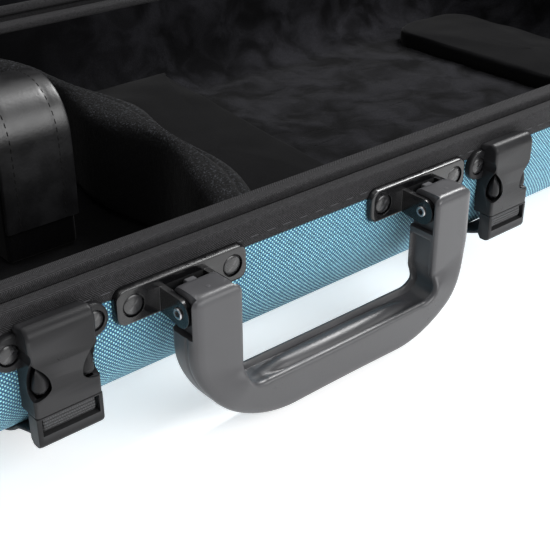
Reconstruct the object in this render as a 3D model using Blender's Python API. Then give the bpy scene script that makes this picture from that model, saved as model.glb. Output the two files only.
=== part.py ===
"""Oblong violin case with a fabric-covered base, an open lid and a hanging carrying handle.

Frame: +X towards the end that holds the violin's body, +Y towards the lid's hinge, +Z up.
The origin is the centre of the base's flat underside. The case stands open on four feet.
"""

import math

import bmesh
import bpy
from mathutils import Matrix, Vector

MM = 0.001
GAP = 0.3 * MM  # between pieces that rest on each other

# Case body
CASE_LENGTH = 790 * MM
CASE_WIDTH = 274 * MM
CORNER_RADIUS = 45 * MM  # seen from above
EDGE_FILLET = 38 * MM  # where the sides turn under the base and over the lid
BASE_DEPTH = 62 * MM  # underside to the ledge of the rim
LID_DEPTH = 60 * MM
LID_OPEN = math.radians(100)
SHELL_WALL = 4 * MM
RIM_WIDTH = 14 * MM  # shell wall and lining wall together
FLOOR_PADDING = 4 * MM
CORNER_STEPS = 5
FILLET_STEPS = 5

# Rim of base and lid
TAPE_THICKNESS = 0.7 * MM
TAPE_BAND = 10.5 * MM  # how far the tape comes down the side
TAPE_LEDGE = 5.2 * MM
LIP_HEIGHT = 3.6 * MM
LIP_CHAMFER = 1.2 * MM

# Hinges at the back
HINGE_FROM_END = 165 * MM  # hinge centres from the ends of the case
HINGE_LENGTH = 60 * MM
HINGE_LEAF = 18 * MM
LEAF_THICKNESS = 1.2 * MM
BARREL_RADIUS = 2.6 * MM
HINGE_PIN_RADIUS = 1.2 * MM
PIN_PLAY = 0.3 * MM  # round each pin in its bore

# Line of screws and rivets on the front, below the rim's ledge
FIXING_DROP = 14 * MM

# Handle brackets
BRACKET_SPREAD = 59.2 * MM  # bracket centres from the middle of the case
BRACKET_LENGTH = 56 * MM
BRACKET_HEIGHT = 14.5 * MM
BRACKET_THICKNESS = 2.7 * MM
BRACKET_CORNER = 4 * MM
BRACKET_SCREW_SPREAD = 21 * MM
SCREW_HEAD_RADIUS = 4.0 * MM
SCREW_HEAD_THICKNESS = 1.9 * MM
SHANK_RADIUS = 1.5 * MM
EAR_THICKNESS = 2.5 * MM
EAR_RADIUS = 5.5 * MM
EAR_TAPER = 1.6 * MM  # how much lower the ear is at its round end than at the plate
PIN_RADIUS = 2.0 * MM
PIN_BORE = 1.2 * MM
PIN_OFFSET = 13.7 * MM  # pin axis from the case's side
PIN_DROP = 2.3 * MM  # pin axis below the screws

# Handle
HANDLE_WIDTH = 21.2 * MM  # of each leg, seen from the front
GRIP_HEIGHT = 18.4 * MM
HANDLE_DEPTH = 14.8 * MM
HANDLE_EDGE = 2.5 * MM
LEG_TOP = 7.8 * MM  # above the pin axis
GRIP_DROP = 51.2 * MM  # underside of the grip below the pin axis
OUTER_BEND = (50 * MM, 40 * MM)  # across and up: the lower corners are long curves
INNER_BEND = 8 * MM
GRIP_LEAN = 3.2 * MM  # how far the grip stands in front of the legs
LEDGE_DROP = 8.2 * MM  # shelf under each ear, below the pin axis
EAR_CLEARANCE = 1.1 * MM  # in front of the ear's round end
HANDLE_BACK = 7.4 * MM  # back of the legs from the case's side

# Buckles
BUCKLE_SPREAD = 111 * MM
WING_LENGTH = 42 * MM
WING_HEIGHT = 13 * MM
WING_THICKNESS = 2.7 * MM
RIVET_SPREAD = 15.5 * MM
RIVET_HEAD_RADIUS = 3.7 * MM
RIVET_HEAD_THICKNESS = 1.9 * MM
SOCKET_WIDTH = 24.6 * MM
SOCKET_DEPTH = 9.7 * MM  # front face from the case's side
SOCKET_RISE = 10 * MM  # top above the rivets
SOCKET_DROP = 22.5 * MM  # mouth below the rivets
SOCKET_WALL = 1.8 * MM
WINDOW_HEIGHT = 14 * MM
WINDOW_RADIUS = 3.6 * MM
WINDOW_DROP = 12.5 * MM  # centre of the window's round end below the rivets
PLUG_BAR = 3.5 * MM
PLUG_DROP = 35 * MM  # underside of the plug below the rivets
PRONG_REACH = 15.5 * MM
WEBBING_WIDTH = 19.6 * MM
WEBBING_THICKNESS = 1.4 * MM
WEBBING_RUN = 95 * MM  # where the webbing is sewn to the underside, from the front

# Feet
FOOT_HEIGHT = 10 * MM
FOOT_RADIUS = 10 * MM
FOOT_STEM_RADIUS = 2.5 * MM
FOOT_FROM_END = 75 * MM
FOOT_FROM_SIDE = 48 * MM

# Inside of the base
CRADLE_X = -50.5 * MM
CRADLE_LENGTH = 34 * MM
CRADLE_WIDTH = 44 * MM
CRADLE_BELOW_RIM = 2 * MM
CRADLE_NOTCH = 28 * MM
CRADLE_NOTCH_DEPTH = 22 * MM
STRAP_WIDTH = 35 * MM
STRAP_THICKNESS = 2.4 * MM
STRAP_ABOVE_RIM = 21 * MM
STRAP_FRONT_DROP = 59 * MM
STRAP_BACK_DROP = 42 * MM
STRAP_BEND = 22 * MM
SHOULDER_BELOW_RIM = 4 * MM
PAD_THICKNESS = 10 * MM
UPPER_PAD_X = (22 * MM, 100 * MM)
UPPER_PAD_LEAN = 14 * MM  # how far its far edge slants, each side of the middle
LOWER_PAD_LENGTH = 65 * MM
LOWER_PAD_FROM_END = 45 * MM
COMPARTMENT_LENGTH = 146 * MM  # outer end of the case to the compartment's wall
COMPARTMENT_WALL = 6 * MM
COMPARTMENT_BELOW_RIM = 6 * MM
COMPARTMENT_LID = 4 * MM
COMPARTMENT_CORNER_EXTRA = 9 * MM  # rounder than the rim's corners, to clear them as its lid swings up

# Inside of the lid
BOW_FROM_SIDE = 68 * MM
SPINNER_FROM_END = 105 * MM
TIP_LOOP_FROM_END = 95 * MM
STAY_PLAY = 1 * MM  # between a stay and the lining
STAY_ROOM = 5 * MM  # left for the stay beside the compartment's lid
STAY_FROM_BACK = 98 * MM
STAY_WIDTH = 15 * MM
STAY_THICKNESS = 1.2 * MM

# Zip sliders
SLIDER_FROM_BACK = 68 * MM
SLIDER_LENGTH = 12 * MM
SLIDER_HEIGHT = 8 * MM
SLIDER_THICKNESS = 3 * MM
PULLER_LENGTH = 26 * MM
PULLER_WIDTH = 8 * MM
PULLER_THICKNESS = 1.6 * MM

# Heights and places that follow from the sizes above
FRONT = -CASE_WIDTH / 2
BACK = CASE_WIDTH / 2
RIGHT = CASE_LENGTH / 2
LEFT = -CASE_LENGTH / 2
FIXING_HEIGHT = BASE_DEPTH - FIXING_DROP
LINING_INSET = SHELL_WALL + GAP
FLOOR_TOP = SHELL_WALL + GAP + FLOOR_PADDING
SHELL_TOP = BASE_DEPTH - TAPE_THICKNESS - GAP
LID_RIM = BASE_DEPTH + 2 * GAP
LID_TOP = LID_RIM + LID_DEPTH
HINGE_Y = BACK + GAP + BARREL_RADIUS
HINGE_Z = BASE_DEPTH + GAP
PIN_Y = FRONT - PIN_OFFSET
PIN_Z = FIXING_HEIGHT - PIN_DROP
EAR_OUTER = HANDLE_WIDTH / 2
TONGUE_HALF = EAR_OUTER - EAR_THICKNESS - GAP
CRADLE_TOP = BASE_DEPTH - CRADLE_BELOW_RIM
STRAP_TOP = BASE_DEPTH + STRAP_ABOVE_RIM
SHOULDER_TOP = BASE_DEPTH - SHOULDER_BELOW_RIM
PAD_TOP = FLOOR_TOP + GAP + PAD_THICKNESS
COMPARTMENT_TOP = BASE_DEPTH - COMPARTMENT_BELOW_RIM
COMPARTMENT_WALL_X = LEFT + COMPARTMENT_LENGTH
SLIDER_Y = BACK - SLIDER_FROM_BACK


# ---------------------------------------------------------------- building blocks

def clear_scene():
    for obj in list(bpy.data.objects):
        bpy.data.objects.remove(obj)


def material(name, colour, roughness, metallic=0.0):
    made = bpy.data.materials.new(name)
    made.use_nodes = True
    shader = made.node_tree.nodes["Principled BSDF"]
    shader.inputs["Base Color"].default_value = (*colour, 1.0)
    shader.inputs["Roughness"].default_value = roughness
    shader.inputs["Metallic"].default_value = metallic
    made.diffuse_color = (*colour, 1.0)
    return made


def add_object(name, bm, mat, smooth_angle=35):
    """Close off a bmesh into a named object with outward faces."""
    bmesh.ops.recalc_face_normals(bm, faces=bm.faces)
    mesh = bpy.data.meshes.new(name)
    bm.to_mesh(mesh)
    bm.free()
    mesh.materials.append(mat)
    mesh.shade_smooth()
    mesh.set_sharp_from_angle(angle=math.radians(smooth_angle))
    obj = bpy.data.objects.new(name, mesh)
    bpy.context.scene.collection.objects.link(obj)
    return obj


def loft(loops, closed=False):
    """Skin loops of equal length; cap the two ends, or join the last loop to the first."""
    bm = bmesh.new()
    rows = [[bm.verts.new(point) for point in loop] for loop in loops]
    count = len(rows[0])
    pairs = list(zip(rows, rows[1:] + rows[:1])) if closed else list(zip(rows, rows[1:]))
    for low, high in pairs:
        for i in range(count):
            j = (i + 1) % count
            bm.faces.new((low[i], low[j], high[j], high[i]))
    if not closed:
        bm.faces.new(rows[0])
        bm.faces.new(rows[-1])
    return bm


def prism(points, axis, low, high):
    """Extrude a flat outline. Its two coordinates are the other axes in X, Y, Z order."""
    def place(point, depth):
        out = list(point)
        out.insert("XYZ".index(axis), depth)
        return out
    return loft([[place(p, low) for p in points], [place(p, high) for p in points]])


def arc(centre, radius, start, stop, steps):
    """Points of a circle's arc between two angles in degrees, both ends included."""
    angles = [math.radians(start + (stop - start) * i / steps) for i in range(steps + 1)]
    return [(centre[0] + radius * math.cos(a), centre[1] + radius * math.sin(a)) for a in angles]


def rounded_rectangle(half_x, half_y, radius, steps=CORNER_STEPS, centre=(0, 0)):
    radius = max(min(radius, half_x - 0.1 * MM, half_y - 0.1 * MM), 0.5 * MM)
    x, y = half_x - radius, half_y - radius
    points = []
    for sx, sy, start in ((1, 1, 0), (-1, 1, 90), (-1, -1, 180), (1, -1, 270)):
        corner = (centre[0] + sx * x, centre[1] + sy * y)
        points += arc(corner, radius, start, start + 90, steps)
    return points


def circle(centre, radius, steps=24):
    return arc(centre, radius, 0, 360 - 360 / steps, steps - 1)


def box(low, high):
    return prism([(low[0], low[1]), (high[0], low[1]), (high[0], high[1]), (low[0], high[1])],
                 "Z", low[2], high[2])


def cylinder(axis, centre, radius, low, high, steps=24):
    """Round bar along an axis; centre gives the other two coordinates."""
    return prism(circle(centre, radius, steps), axis, low, high)


def combine(target, operation, *shapes):
    """Cut shapes from an object or join them to it, and keep only the result."""
    for shape in shapes:
        bmesh.ops.recalc_face_normals(shape, faces=shape.faces)
        mesh = bpy.data.meshes.new("tool")
        shape.to_mesh(mesh)
        shape.free()
        tool = bpy.data.objects.new("tool", mesh)
        bpy.context.scene.collection.objects.link(tool)
        modifier = target.modifiers.new("join", "BOOLEAN")
        modifier.operation = operation
        modifier.object = tool
        graph = bpy.context.evaluated_depsgraph_get()
        result = bpy.data.meshes.new_from_object(target.evaluated_get(graph))
        target.modifiers.clear()
        target.data = result
        bpy.data.objects.remove(tool)
    return target


def put_origin(obj, point, parent=None):
    """Move an object's origin to a world point without moving the object."""
    obj.data.transform(Matrix.Translation(-Vector(point)))
    obj.location = Vector(point)
    if parent:
        obj.parent = parent
        obj.location = Vector(point) - parent.location
    return obj


# ---------------------------------------------------------------- shells, linings and rims

def outline(inset, height):
    """The case's outline seen from above, set in from its outer face, at a height."""
    points = rounded_rectangle(CASE_LENGTH / 2 - inset, CASE_WIDTH / 2 - inset, CORNER_RADIUS - inset)
    return [(x, y, height) for x, y in points]


def bowl_curve(inset, top):
    """Section of a bowl's surface from its flat bottom up to a height: (inset, height) pairs."""
    radius = EDGE_FILLET - inset
    curve = arc((EDGE_FILLET, EDGE_FILLET), radius, 270, 180, FILLET_STEPS)
    return curve + [(inset, top)]


def floor_curve(inset, floor, top):
    """As bowl_curve, with the floor at a height of its own."""
    radius = EDGE_FILLET - inset
    curve = arc((EDGE_FILLET, floor + radius), radius, 270, 180, FILLET_STEPS)
    return curve + [(inset, top)]


def shell_section(depth):
    """Fabric-covered shell with a recess round its rim that the zip tape lies in."""
    recess = TAPE_THICKNESS + GAP
    top = depth - recess
    step = depth - TAPE_BAND - GAP
    return (bowl_curve(0, step) + [(recess, step), (recess, top), (SHELL_WALL, top)]
            + list(reversed(bowl_curve(SHELL_WALL, top)))[1:])


def lining_section(depth):
    top = depth - TAPE_THICKNESS - GAP
    inside = floor_curve(RIM_WIDTH, FLOOR_TOP, top)
    return bowl_curve(LINING_INSET, top) + list(reversed(inside))


def tape_section(depth):
    """Zip tape: down the side and in over the ledge."""
    low = depth - TAPE_BAND
    under = depth - TAPE_THICKNESS
    return [(0, low), (0, depth - TAPE_THICKNESS), (TAPE_THICKNESS, depth), (TAPE_LEDGE, depth),
            (TAPE_LEDGE, under), (TAPE_THICKNESS, under), (TAPE_THICKNESS, low)]


def lip_section():
    low = SHELL_TOP + GAP
    high = BASE_DEPTH + LIP_HEIGHT - GAP
    inner = TAPE_LEDGE + 2.5 * GAP
    outer = RIM_WIDTH - GAP
    return [(inner, low), (inner, high - LIP_CHAMFER), (inner + LIP_CHAMFER, high),
            (outer - LIP_CHAMFER, high), (outer, high - LIP_CHAMFER), (outer, low)]


def build_base(fabric, velvet, tape):
    shell = add_object("base_shell", loft([outline(i, z) for i, z in shell_section(BASE_DEPTH)]), fabric)
    drill_front(shell)
    for x, y in foot_places():
        combine(shell, "DIFFERENCE",
                cylinder("Z", (x, y), FOOT_STEM_RADIUS + GAP, -MM, SHELL_WALL + MM, 16))
    lining = [outline(i, z) for i, z in lining_section(BASE_DEPTH)]
    add_object("base_lining", loft(lining), velvet)
    add_object("base_zip_tape", loft([outline(i, z) for i, z in tape_section(BASE_DEPTH)], closed=True), tape)
    add_object("base_lip", loft([outline(i, z) for i, z in lip_section()], closed=True), tape)


def drill_front(shell):
    """Holes through the front wall for the bracket screws and the buckle rivets."""
    for x in screw_places() + rivet_places():
        combine(shell, "DIFFERENCE",
                cylinder("Y", (x, FIXING_HEIGHT), SHANK_RADIUS + GAP, FRONT - MM, FRONT + SHELL_WALL + MM, 12))


def build_lid(pivot, fabric, velvet, tape):
    """The lid is made closed and turned open about its hinge by its parent."""
    def lid_loops(section):
        return [outline(inset, LID_TOP - height) for inset, height in section]
    lining_depth = LID_DEPTH - LIP_HEIGHT + TAPE_THICKNESS - GAP
    pieces = (add_object("lid_shell", loft(lid_loops(shell_section(LID_DEPTH))), fabric),
              add_object("lid_lining", loft(lid_loops(lining_section(lining_depth))), velvet),
              add_object("lid_zip_tape", loft(lid_loops(tape_section(LID_DEPTH)), closed=True), tape))
    for piece in pieces:
        put_origin(piece, pivot.location, pivot)


def foot_places():
    return [(sx * (RIGHT - FOOT_FROM_END), sy * (BACK - FOOT_FROM_SIDE)) for sx in (-1, 1) for sy in (-1, 1)]


def build_feet(rubber):
    names = ("foot_left_front", "foot_left_back", "foot_right_front", "foot_right_back")
    for name, (x, y) in zip(names, foot_places()):
        taper = 1.5 * MM
        rings = ((FOOT_RADIUS - taper, -FOOT_HEIGHT), (FOOT_RADIUS, -FOOT_HEIGHT + taper),
                 (FOOT_RADIUS, -GAP), (FOOT_STEM_RADIUS, -GAP), (FOOT_STEM_RADIUS, SHELL_WALL))
        loops = [[(px, py, z) for px, py in circle((x, y), r, 16)] for r, z in rings]
        add_object(name, loft(loops), rubber)


# ---------------------------------------------------------------- hinges

def hinge_leaf(name, x, side, knuckles, mat, pivot=None):
    """A leaf on the outside of the back wall with its knuckles; side is -1 below, +1 above."""
    front = BACK + GAP
    half = HINGE_LENGTH / 2
    near, far = sorted((HINGE_Z + side * 2 * GAP, HINGE_Z + side * HINGE_LEAF))
    leaf = add_object(name, box((x - half, front, near), (x + half, front + LEAF_THICKNESS, far)), mat)
    for low, high in knuckles:
        combine(leaf, "UNION", cylinder("X", (HINGE_Y, HINGE_Z), BARREL_RADIUS, x + low, x + high, 16))
    for low, high in knuckle_gaps(knuckles, half):
        reach = BARREL_RADIUS + GAP
        combine(leaf, "DIFFERENCE", box((x + low, HINGE_Y - reach - GAP, HINGE_Z - reach),
                                        (x + high, HINGE_Y + reach, HINGE_Z + reach)))
    combine(leaf, "DIFFERENCE", cylinder("X", (HINGE_Y, HINGE_Z), HINGE_PIN_RADIUS + PIN_PLAY,
                                         x - half - MM, x + half + MM, 12))
    if pivot:
        put_origin(leaf, pivot.location, pivot)


def knuckle_gaps(knuckles, half):
    """Stretches of the leaf's length that its own knuckles leave to the other leaf."""
    edges = [-half - MM] + [end for pair in knuckles for end in pair] + [half + MM]
    gaps = list(zip(edges[0::2], edges[1::2]))
    return [(low, high) for low, high in gaps if high - low > 2 * MM]


def build_hinges(pivot, steel):
    third = HINGE_LENGTH / 6
    outer = ((-HINGE_LENGTH / 2, -third - GAP), (third + GAP, HINGE_LENGTH / 2))
    middle = ((-third, third),)
    for name, x in (("left", LEFT + HINGE_FROM_END), ("right", RIGHT - HINGE_FROM_END)):
        hinge_leaf("hinge_leaf_base_" + name, x, -1, outer, steel)
        hinge_leaf("hinge_leaf_lid_" + name, x, 1, middle, steel, pivot)
        add_object("hinge_pin_" + name,
                   cylinder("X", (HINGE_Y, HINGE_Z), HINGE_PIN_RADIUS, x - HINGE_LENGTH / 2, x + HINGE_LENGTH / 2, 12),
                   steel)


# ---------------------------------------------------------------- handle and its brackets

def screw_places():
    return [s * BRACKET_SPREAD + t * BRACKET_SCREW_SPREAD for s in (-1, 1) for t in (-1, 1)]


def rivet_places():
    return [s * BUCKLE_SPREAD + t * RIVET_SPREAD for s in (-1, 1) for t in (-1, 1)]


def screw(name, x, head_radius, head_thickness, face, mat):
    """A low domed head with a shank through the front wall; face is the plate's front."""
    front = face + 0.5 * MM
    dome = 0.5 * MM
    rings = ((0.55 * head_radius, front), (0.9 * head_radius, front + 0.2 * MM), (head_radius, front + dome),
             (head_radius, front + head_thickness), (SHANK_RADIUS, front + head_thickness),
             (SHANK_RADIUS, FRONT + SHELL_WALL))
    loops = [[(px, y, pz) for px, pz in circle((x, FIXING_HEIGHT), r, 16)] for r, y in rings]
    add_object(name, loft(loops), mat)


def ear_outline():
    """Side view of a clevis ear, as (y, z): wide at the plate, round about the pin."""
    root = FRONT - 1.5 * MM
    top = PIN_Z + EAR_RADIUS
    nose = arc((PIN_Y, PIN_Z), EAR_RADIUS, 90, 270, 10)
    return [(root, top)] + nose + [(root, PIN_Z - EAR_RADIUS + EAR_TAPER)]


def build_bracket(name, x, mat):
    """Plate with two clevis ears, a bore through the ears and a recess for each screw head."""
    front = FRONT - GAP - BRACKET_THICKNESS
    bevel = 0.8 * MM
    half_x, half_z = BRACKET_LENGTH / 2, BRACKET_HEIGHT / 2
    face = rounded_rectangle(half_x - bevel, half_z - bevel, BRACKET_CORNER - bevel, 4, (x, FIXING_HEIGHT))
    edge = rounded_rectangle(half_x, half_z, BRACKET_CORNER, 4, (x, FIXING_HEIGHT))
    loops = [[(px, front, pz) for px, pz in face], [(px, front + bevel, pz) for px, pz in edge],
             [(px, FRONT - GAP, pz) for px, pz in edge]]
    plate = add_object(name, loft(loops), mat)
    for side in (-1, 1):
        inner, outer = x + side * (EAR_OUTER - EAR_THICKNESS), x + side * EAR_OUTER
        combine(plate, "UNION", prism(ear_outline(), "X", min(inner, outer), max(inner, outer)))
    combine(plate, "DIFFERENCE", cylinder("X", (PIN_Y, PIN_Z), PIN_RADIUS + PIN_PLAY,
                                          x - EAR_OUTER - MM, x + EAR_OUTER + MM, 16))
    for side in (-1, 1):
        sx = x + side * BRACKET_SCREW_SPREAD
        combine(plate, "DIFFERENCE",
                cylinder("Y", (sx, FIXING_HEIGHT), SCREW_HEAD_RADIUS + GAP, front - MM, FRONT + MM, 16))


def build_pin(name, x, mat):
    """Hollow pin through both ears and the leg between them."""
    half = EAR_OUTER + 0.6 * MM
    pin = add_object(name, cylinder("X", (PIN_Y, PIN_Z), PIN_RADIUS, x - half, x + half, 16), mat)
    combine(pin, "DIFFERENCE", cylinder("X", (PIN_Y, PIN_Z), PIN_BORE, x - half - MM, x + half + MM, 12))


def handle_section(outer, inner, shrink=0.0):
    """Rounded section across the handle between an outer and an inner point, both (x, z)."""
    lean = GRIP_LEAN * smooth_step((PIN_Z - outer[1]) / GRIP_DROP, 0.35, 0.8)
    middle = FRONT - HANDLE_BACK - HANDLE_DEPTH / 2 - lean
    half_width = math.dist(outer, inner) / 2 - shrink
    half_depth = HANDLE_DEPTH / 2 - shrink
    across = Vector((outer[0] - inner[0], outer[1] - inner[1])).normalized()
    centre = ((outer[0] + inner[0]) / 2, (outer[1] + inner[1]) / 2)
    points = rounded_rectangle(half_width, half_depth, HANDLE_EDGE, 3)
    return [(centre[0] + across.x * s, middle + d, centre[1] + across.y * s) for s, d in points]


def smooth_step(value, low, high):
    t = min(max((value - low) / (high - low), 0), 1)
    return t * t * (3 - 2 * t)


def leg_stations(side):
    """Outer and inner points down one leg and round its bend."""
    outer_x = BRACKET_SPREAD + HANDLE_WIDTH / 2
    inner_x = BRACKET_SPREAD - HANDLE_WIDTH / 2
    bottom = PIN_Z - GRIP_DROP
    top = PIN_Z + LEG_TOP
    across, up = OUTER_BEND
    inner_centre = (inner_x - INNER_BEND, bottom + GRIP_HEIGHT + INNER_BEND)
    stations = [((outer_x, z), (inner_x, z), shrink)
                for z, shrink in ((top, 2.5 * MM), (top - 0.8 * MM, 0.9 * MM), (top - 2.6 * MM, 0))]
    stations.append(((outer_x, bottom + up + MM), (inner_x, PIN_Z - 16 * MM), 0))
    outer_bend = [(outer_x - across + across * c, bottom + up + up * s) for c, s in arc((0, 0), 1, 0, -90, 8)]
    bend = zip(outer_bend, arc(inner_centre, INNER_BEND, 0, -90, 8))
    stations += [(outer, inner, 0) for outer, inner in bend]
    return [((side * o[0], o[1]), (side * i[0], i[1]), shrink) for o, i, shrink in stations]


def build_handle(mat):
    right = leg_stations(1)
    left = list(reversed(leg_stations(-1)))
    loops = [handle_section(outer, inner, shrink) for outer, inner, shrink in right]
    loops += [mirrored_section(outer, inner, shrink) for outer, inner, shrink in left]
    handle = add_object("handle", loft(loops), mat)
    front = PIN_Y - EAR_RADIUS - EAR_CLEARANCE
    for side in (-1, 1):
        x = side * BRACKET_SPREAD
        for hand in (-1, 1):
            low, high = sorted((x + hand * TONGUE_HALF, x + hand * (HANDLE_WIDTH / 2 + MM)))
            combine(handle, "DIFFERENCE", box((low, front, PIN_Z - LEDGE_DROP), (high, FRONT, PIN_Z + LEG_TOP + MM)))
        combine(handle, "DIFFERENCE", cylinder("X", (PIN_Y, PIN_Z), PIN_RADIUS + PIN_PLAY,
                                               x - HANDLE_WIDTH, x + HANDLE_WIDTH, 16))
    put_origin(handle, (0, PIN_Y, PIN_Z))


def mirrored_section(outer, inner, shrink):
    """The section of the left leg, its points in the order that the right leg's have."""
    points = handle_section((-outer[0], outer[1]), (-inner[0], inner[1]), shrink)
    return [(-x, y, z) for x, y, z in points]


# ---------------------------------------------------------------- buckles and webbing

def socket_outline():
    """Front view of the socket's back plate: a bar with round ends that hold the rivets."""
    return rounded_rectangle(WING_LENGTH / 2, WING_HEIGHT / 2, WING_HEIGHT / 2 - 0.2 * MM, 5)


def window_outline():
    """Side view of a window, as (y, z): a round end below and a point above."""
    cy = FRONT - SOCKET_DEPTH + WINDOW_RADIUS - 0.9 * MM
    cz = FIXING_HEIGHT - WINDOW_DROP
    round_end = arc((cy, cz), WINDOW_RADIUS, 160, 380, 10)
    return round_end + [(cy + 0.5 * MM, cz - WINDOW_RADIUS + WINDOW_HEIGHT)]


def build_socket(name, x, mat):
    """Fixed half of a buckle: winged plate, hollow body open below, a window each side."""
    plate_front = FRONT - GAP - WING_THICKNESS
    front = FRONT - SOCKET_DEPTH
    wings = [(x + px, FIXING_HEIGHT + pz) for px, pz in socket_outline()]
    socket = add_object(name, prism(wings, "Y", plate_front, FRONT - GAP), mat)
    top, mouth = FIXING_HEIGHT + SOCKET_RISE, FIXING_HEIGHT - SOCKET_DROP
    side_view = (arc((front + 3.5 * MM, top - 3.5 * MM), 3.5 * MM, 180, 90, 4)
                 + [(FRONT - GAP, top - 2.5 * MM), (FRONT - GAP, mouth), (front, mouth)])
    half = SOCKET_WIDTH / 2
    combine(socket, "UNION", prism(side_view, "X", x - half, x + half))
    inner = half - SOCKET_WALL
    ceiling = FIXING_HEIGHT + 3 * MM
    combine(socket, "DIFFERENCE", box((x - inner, front + SOCKET_WALL, mouth - MM),
                                      (x + inner, plate_front, ceiling)))
    for side in (-1, 1):
        low, high = sorted((x + side * (inner - 2.2 * MM), x + side * (half + MM)))
        combine(socket, "DIFFERENCE", prism(window_outline(), "X", low, high))
        rx = x + side * RIVET_SPREAD
        combine(socket, "DIFFERENCE", cylinder("Y", (rx, FIXING_HEIGHT), RIVET_HEAD_RADIUS + GAP,
                                               front - MM, FRONT + MM, 16))
    return socket


def build_plug(name, x, mat):
    """Sliding half: a ladder frame for the webbing and a guide tongue inside the socket."""
    top = FIXING_HEIGHT - SOCKET_DROP - GAP
    bottom = FIXING_HEIGHT - PLUG_DROP
    front = FRONT - SOCKET_DEPTH
    back = FRONT - 3.4 * MM
    half = SOCKET_WIDTH / 2
    side_view = (arc((front + 2 * MM, bottom + 2 * MM), 2 * MM, 180, 270, 4)
                 + [(back - 1.5 * MM, bottom), (back, bottom + 2 * MM), (back, top), (front, top)])
    plug = add_object(name, prism(side_view, "X", x - half, x + half), mat)
    slot = WEBBING_WIDTH / 2 + GAP
    combine(plug, "DIFFERENCE", box((x - slot, front - MM, bottom + PLUG_BAR),
                                    (x + slot, back + MM, top - 2 * MM)))
    combine(plug, "DIFFERENCE", box((x - slot, back - 2 * MM, bottom - MM), (x + slot, back + MM, top - 2 * MM)))
    tongue_back = back - 0.8 * MM
    combine(plug, "UNION", box((x - 2.4 * MM, front + SOCKET_WALL + 1.2 * MM, top - MM),
                               (x + 2.4 * MM, tongue_back, FIXING_HEIGHT - 4 * MM)))
    put_origin(plug, (x, front, top))


def build_prong(name, x, side, mat):
    """Sprung prong with a button that fills the socket's window; it bends in at its root."""
    root_z = FIXING_HEIGHT - SOCKET_DROP + 0.4 * MM
    tip_z = root_z + PRONG_REACH
    reach = SOCKET_WIDTH / 2 - SOCKET_WALL - GAP
    button = [(6.0 * MM, root_z), (8.0 * MM, root_z), (8.4 * MM, root_z + 4 * MM), (reach - 0.6 * MM, root_z + 6 * MM),
              (reach, root_z + 8 * MM), (reach - 0.5 * MM, root_z + 11.5 * MM), (8.0 * MM, tip_z), (6.6 * MM, tip_z),
              (6.4 * MM, root_z + 6 * MM)]
    points = [(x + side * px, pz) for px, pz in button]
    depth_front = FRONT - SOCKET_DEPTH + SOCKET_WALL + 0.6 * MM
    depth_back = FRONT - 3.9 * MM
    prong = add_object(name, prism(points, "Y", depth_front, depth_back), mat)
    put_origin(prong, (x + side * 7 * MM, (depth_front + depth_back) / 2, root_z))


def webbing_route():
    """Centre line of the webbing in side view, as (y, z): ladder slot, round the edge, underside."""
    slot_top = FIXING_HEIGHT - SOCKET_DROP - 2.9 * MM
    bar_back = FRONT - 3.4 * MM
    lift = GAP + WEBBING_THICKNESS / 2
    centre = (FRONT + EDGE_FILLET, EDGE_FILLET)
    wrap = arc(centre, EDGE_FILLET + lift, 222, 270, 6)
    fall = [(bar_back - 3.6 * MM, slot_top), (bar_back - 3.4 * MM, slot_top - 2.2 * MM),
            (bar_back - 2.2 * MM, slot_top - 4.4 * MM), (bar_back - 0.8 * MM, slot_top - 6.4 * MM),
            (bar_back + 0.6 * MM, slot_top - 8.4 * MM)]
    return fall + wrap + [(FRONT + WEBBING_RUN, -lift)]


def build_webbing(name, x, mat):
    route = webbing_route()
    half_t, half_w = WEBBING_THICKNESS / 2, WEBBING_WIDTH / 2
    loops = []
    for i, (y, z) in enumerate(route):
        before, after = route[max(i - 1, 0)], route[min(i + 1, len(route) - 1)]
        along = Vector((after[0] - before[0], after[1] - before[1])).normalized()
        ny, nz = -along.y * half_t, along.x * half_t
        loops.append([(x - half_w, y - ny, z - nz), (x + half_w, y - ny, z - nz),
                      (x + half_w, y + ny, z + nz), (x - half_w, y + ny, z + nz)])
    add_object(name, loft(loops), mat)


def build_buckles(plastic, dark, webbing):
    for name, x in (("left", -BUCKLE_SPREAD), ("right", BUCKLE_SPREAD)):
        build_socket("buckle_socket_" + name, x, plastic)
        build_plug("buckle_plug_" + name, x, plastic)
        build_webbing("webbing_" + name, x, webbing)
        for end, side in (("left", -1), ("right", 1)):
            build_prong(f"buckle_prong_{name}_{end}", x, side, plastic)
            screw(f"buckle_rivet_{name}_{end}", x + side * RIVET_SPREAD, RIVET_HEAD_RADIUS, RIVET_HEAD_THICKNESS,
                  FRONT - GAP - WING_THICKNESS, dark)


def build_handle_set(grip, metal, dark):
    build_handle(grip)
    for name, x in (("left", -BRACKET_SPREAD), ("right", BRACKET_SPREAD)):
        build_bracket("handle_bracket_" + name, x, metal)
        build_pin("handle_pin_" + name, x, dark)
        for end, side in (("left", -1), ("right", 1)):
            screw(f"bracket_screw_{name}_{end}", x + side * BRACKET_SCREW_SPREAD, SCREW_HEAD_RADIUS,
                  SCREW_HEAD_THICKNESS, FRONT - GAP - BRACKET_THICKNESS, dark)


# ---------------------------------------------------------------- inside of the base

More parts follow.
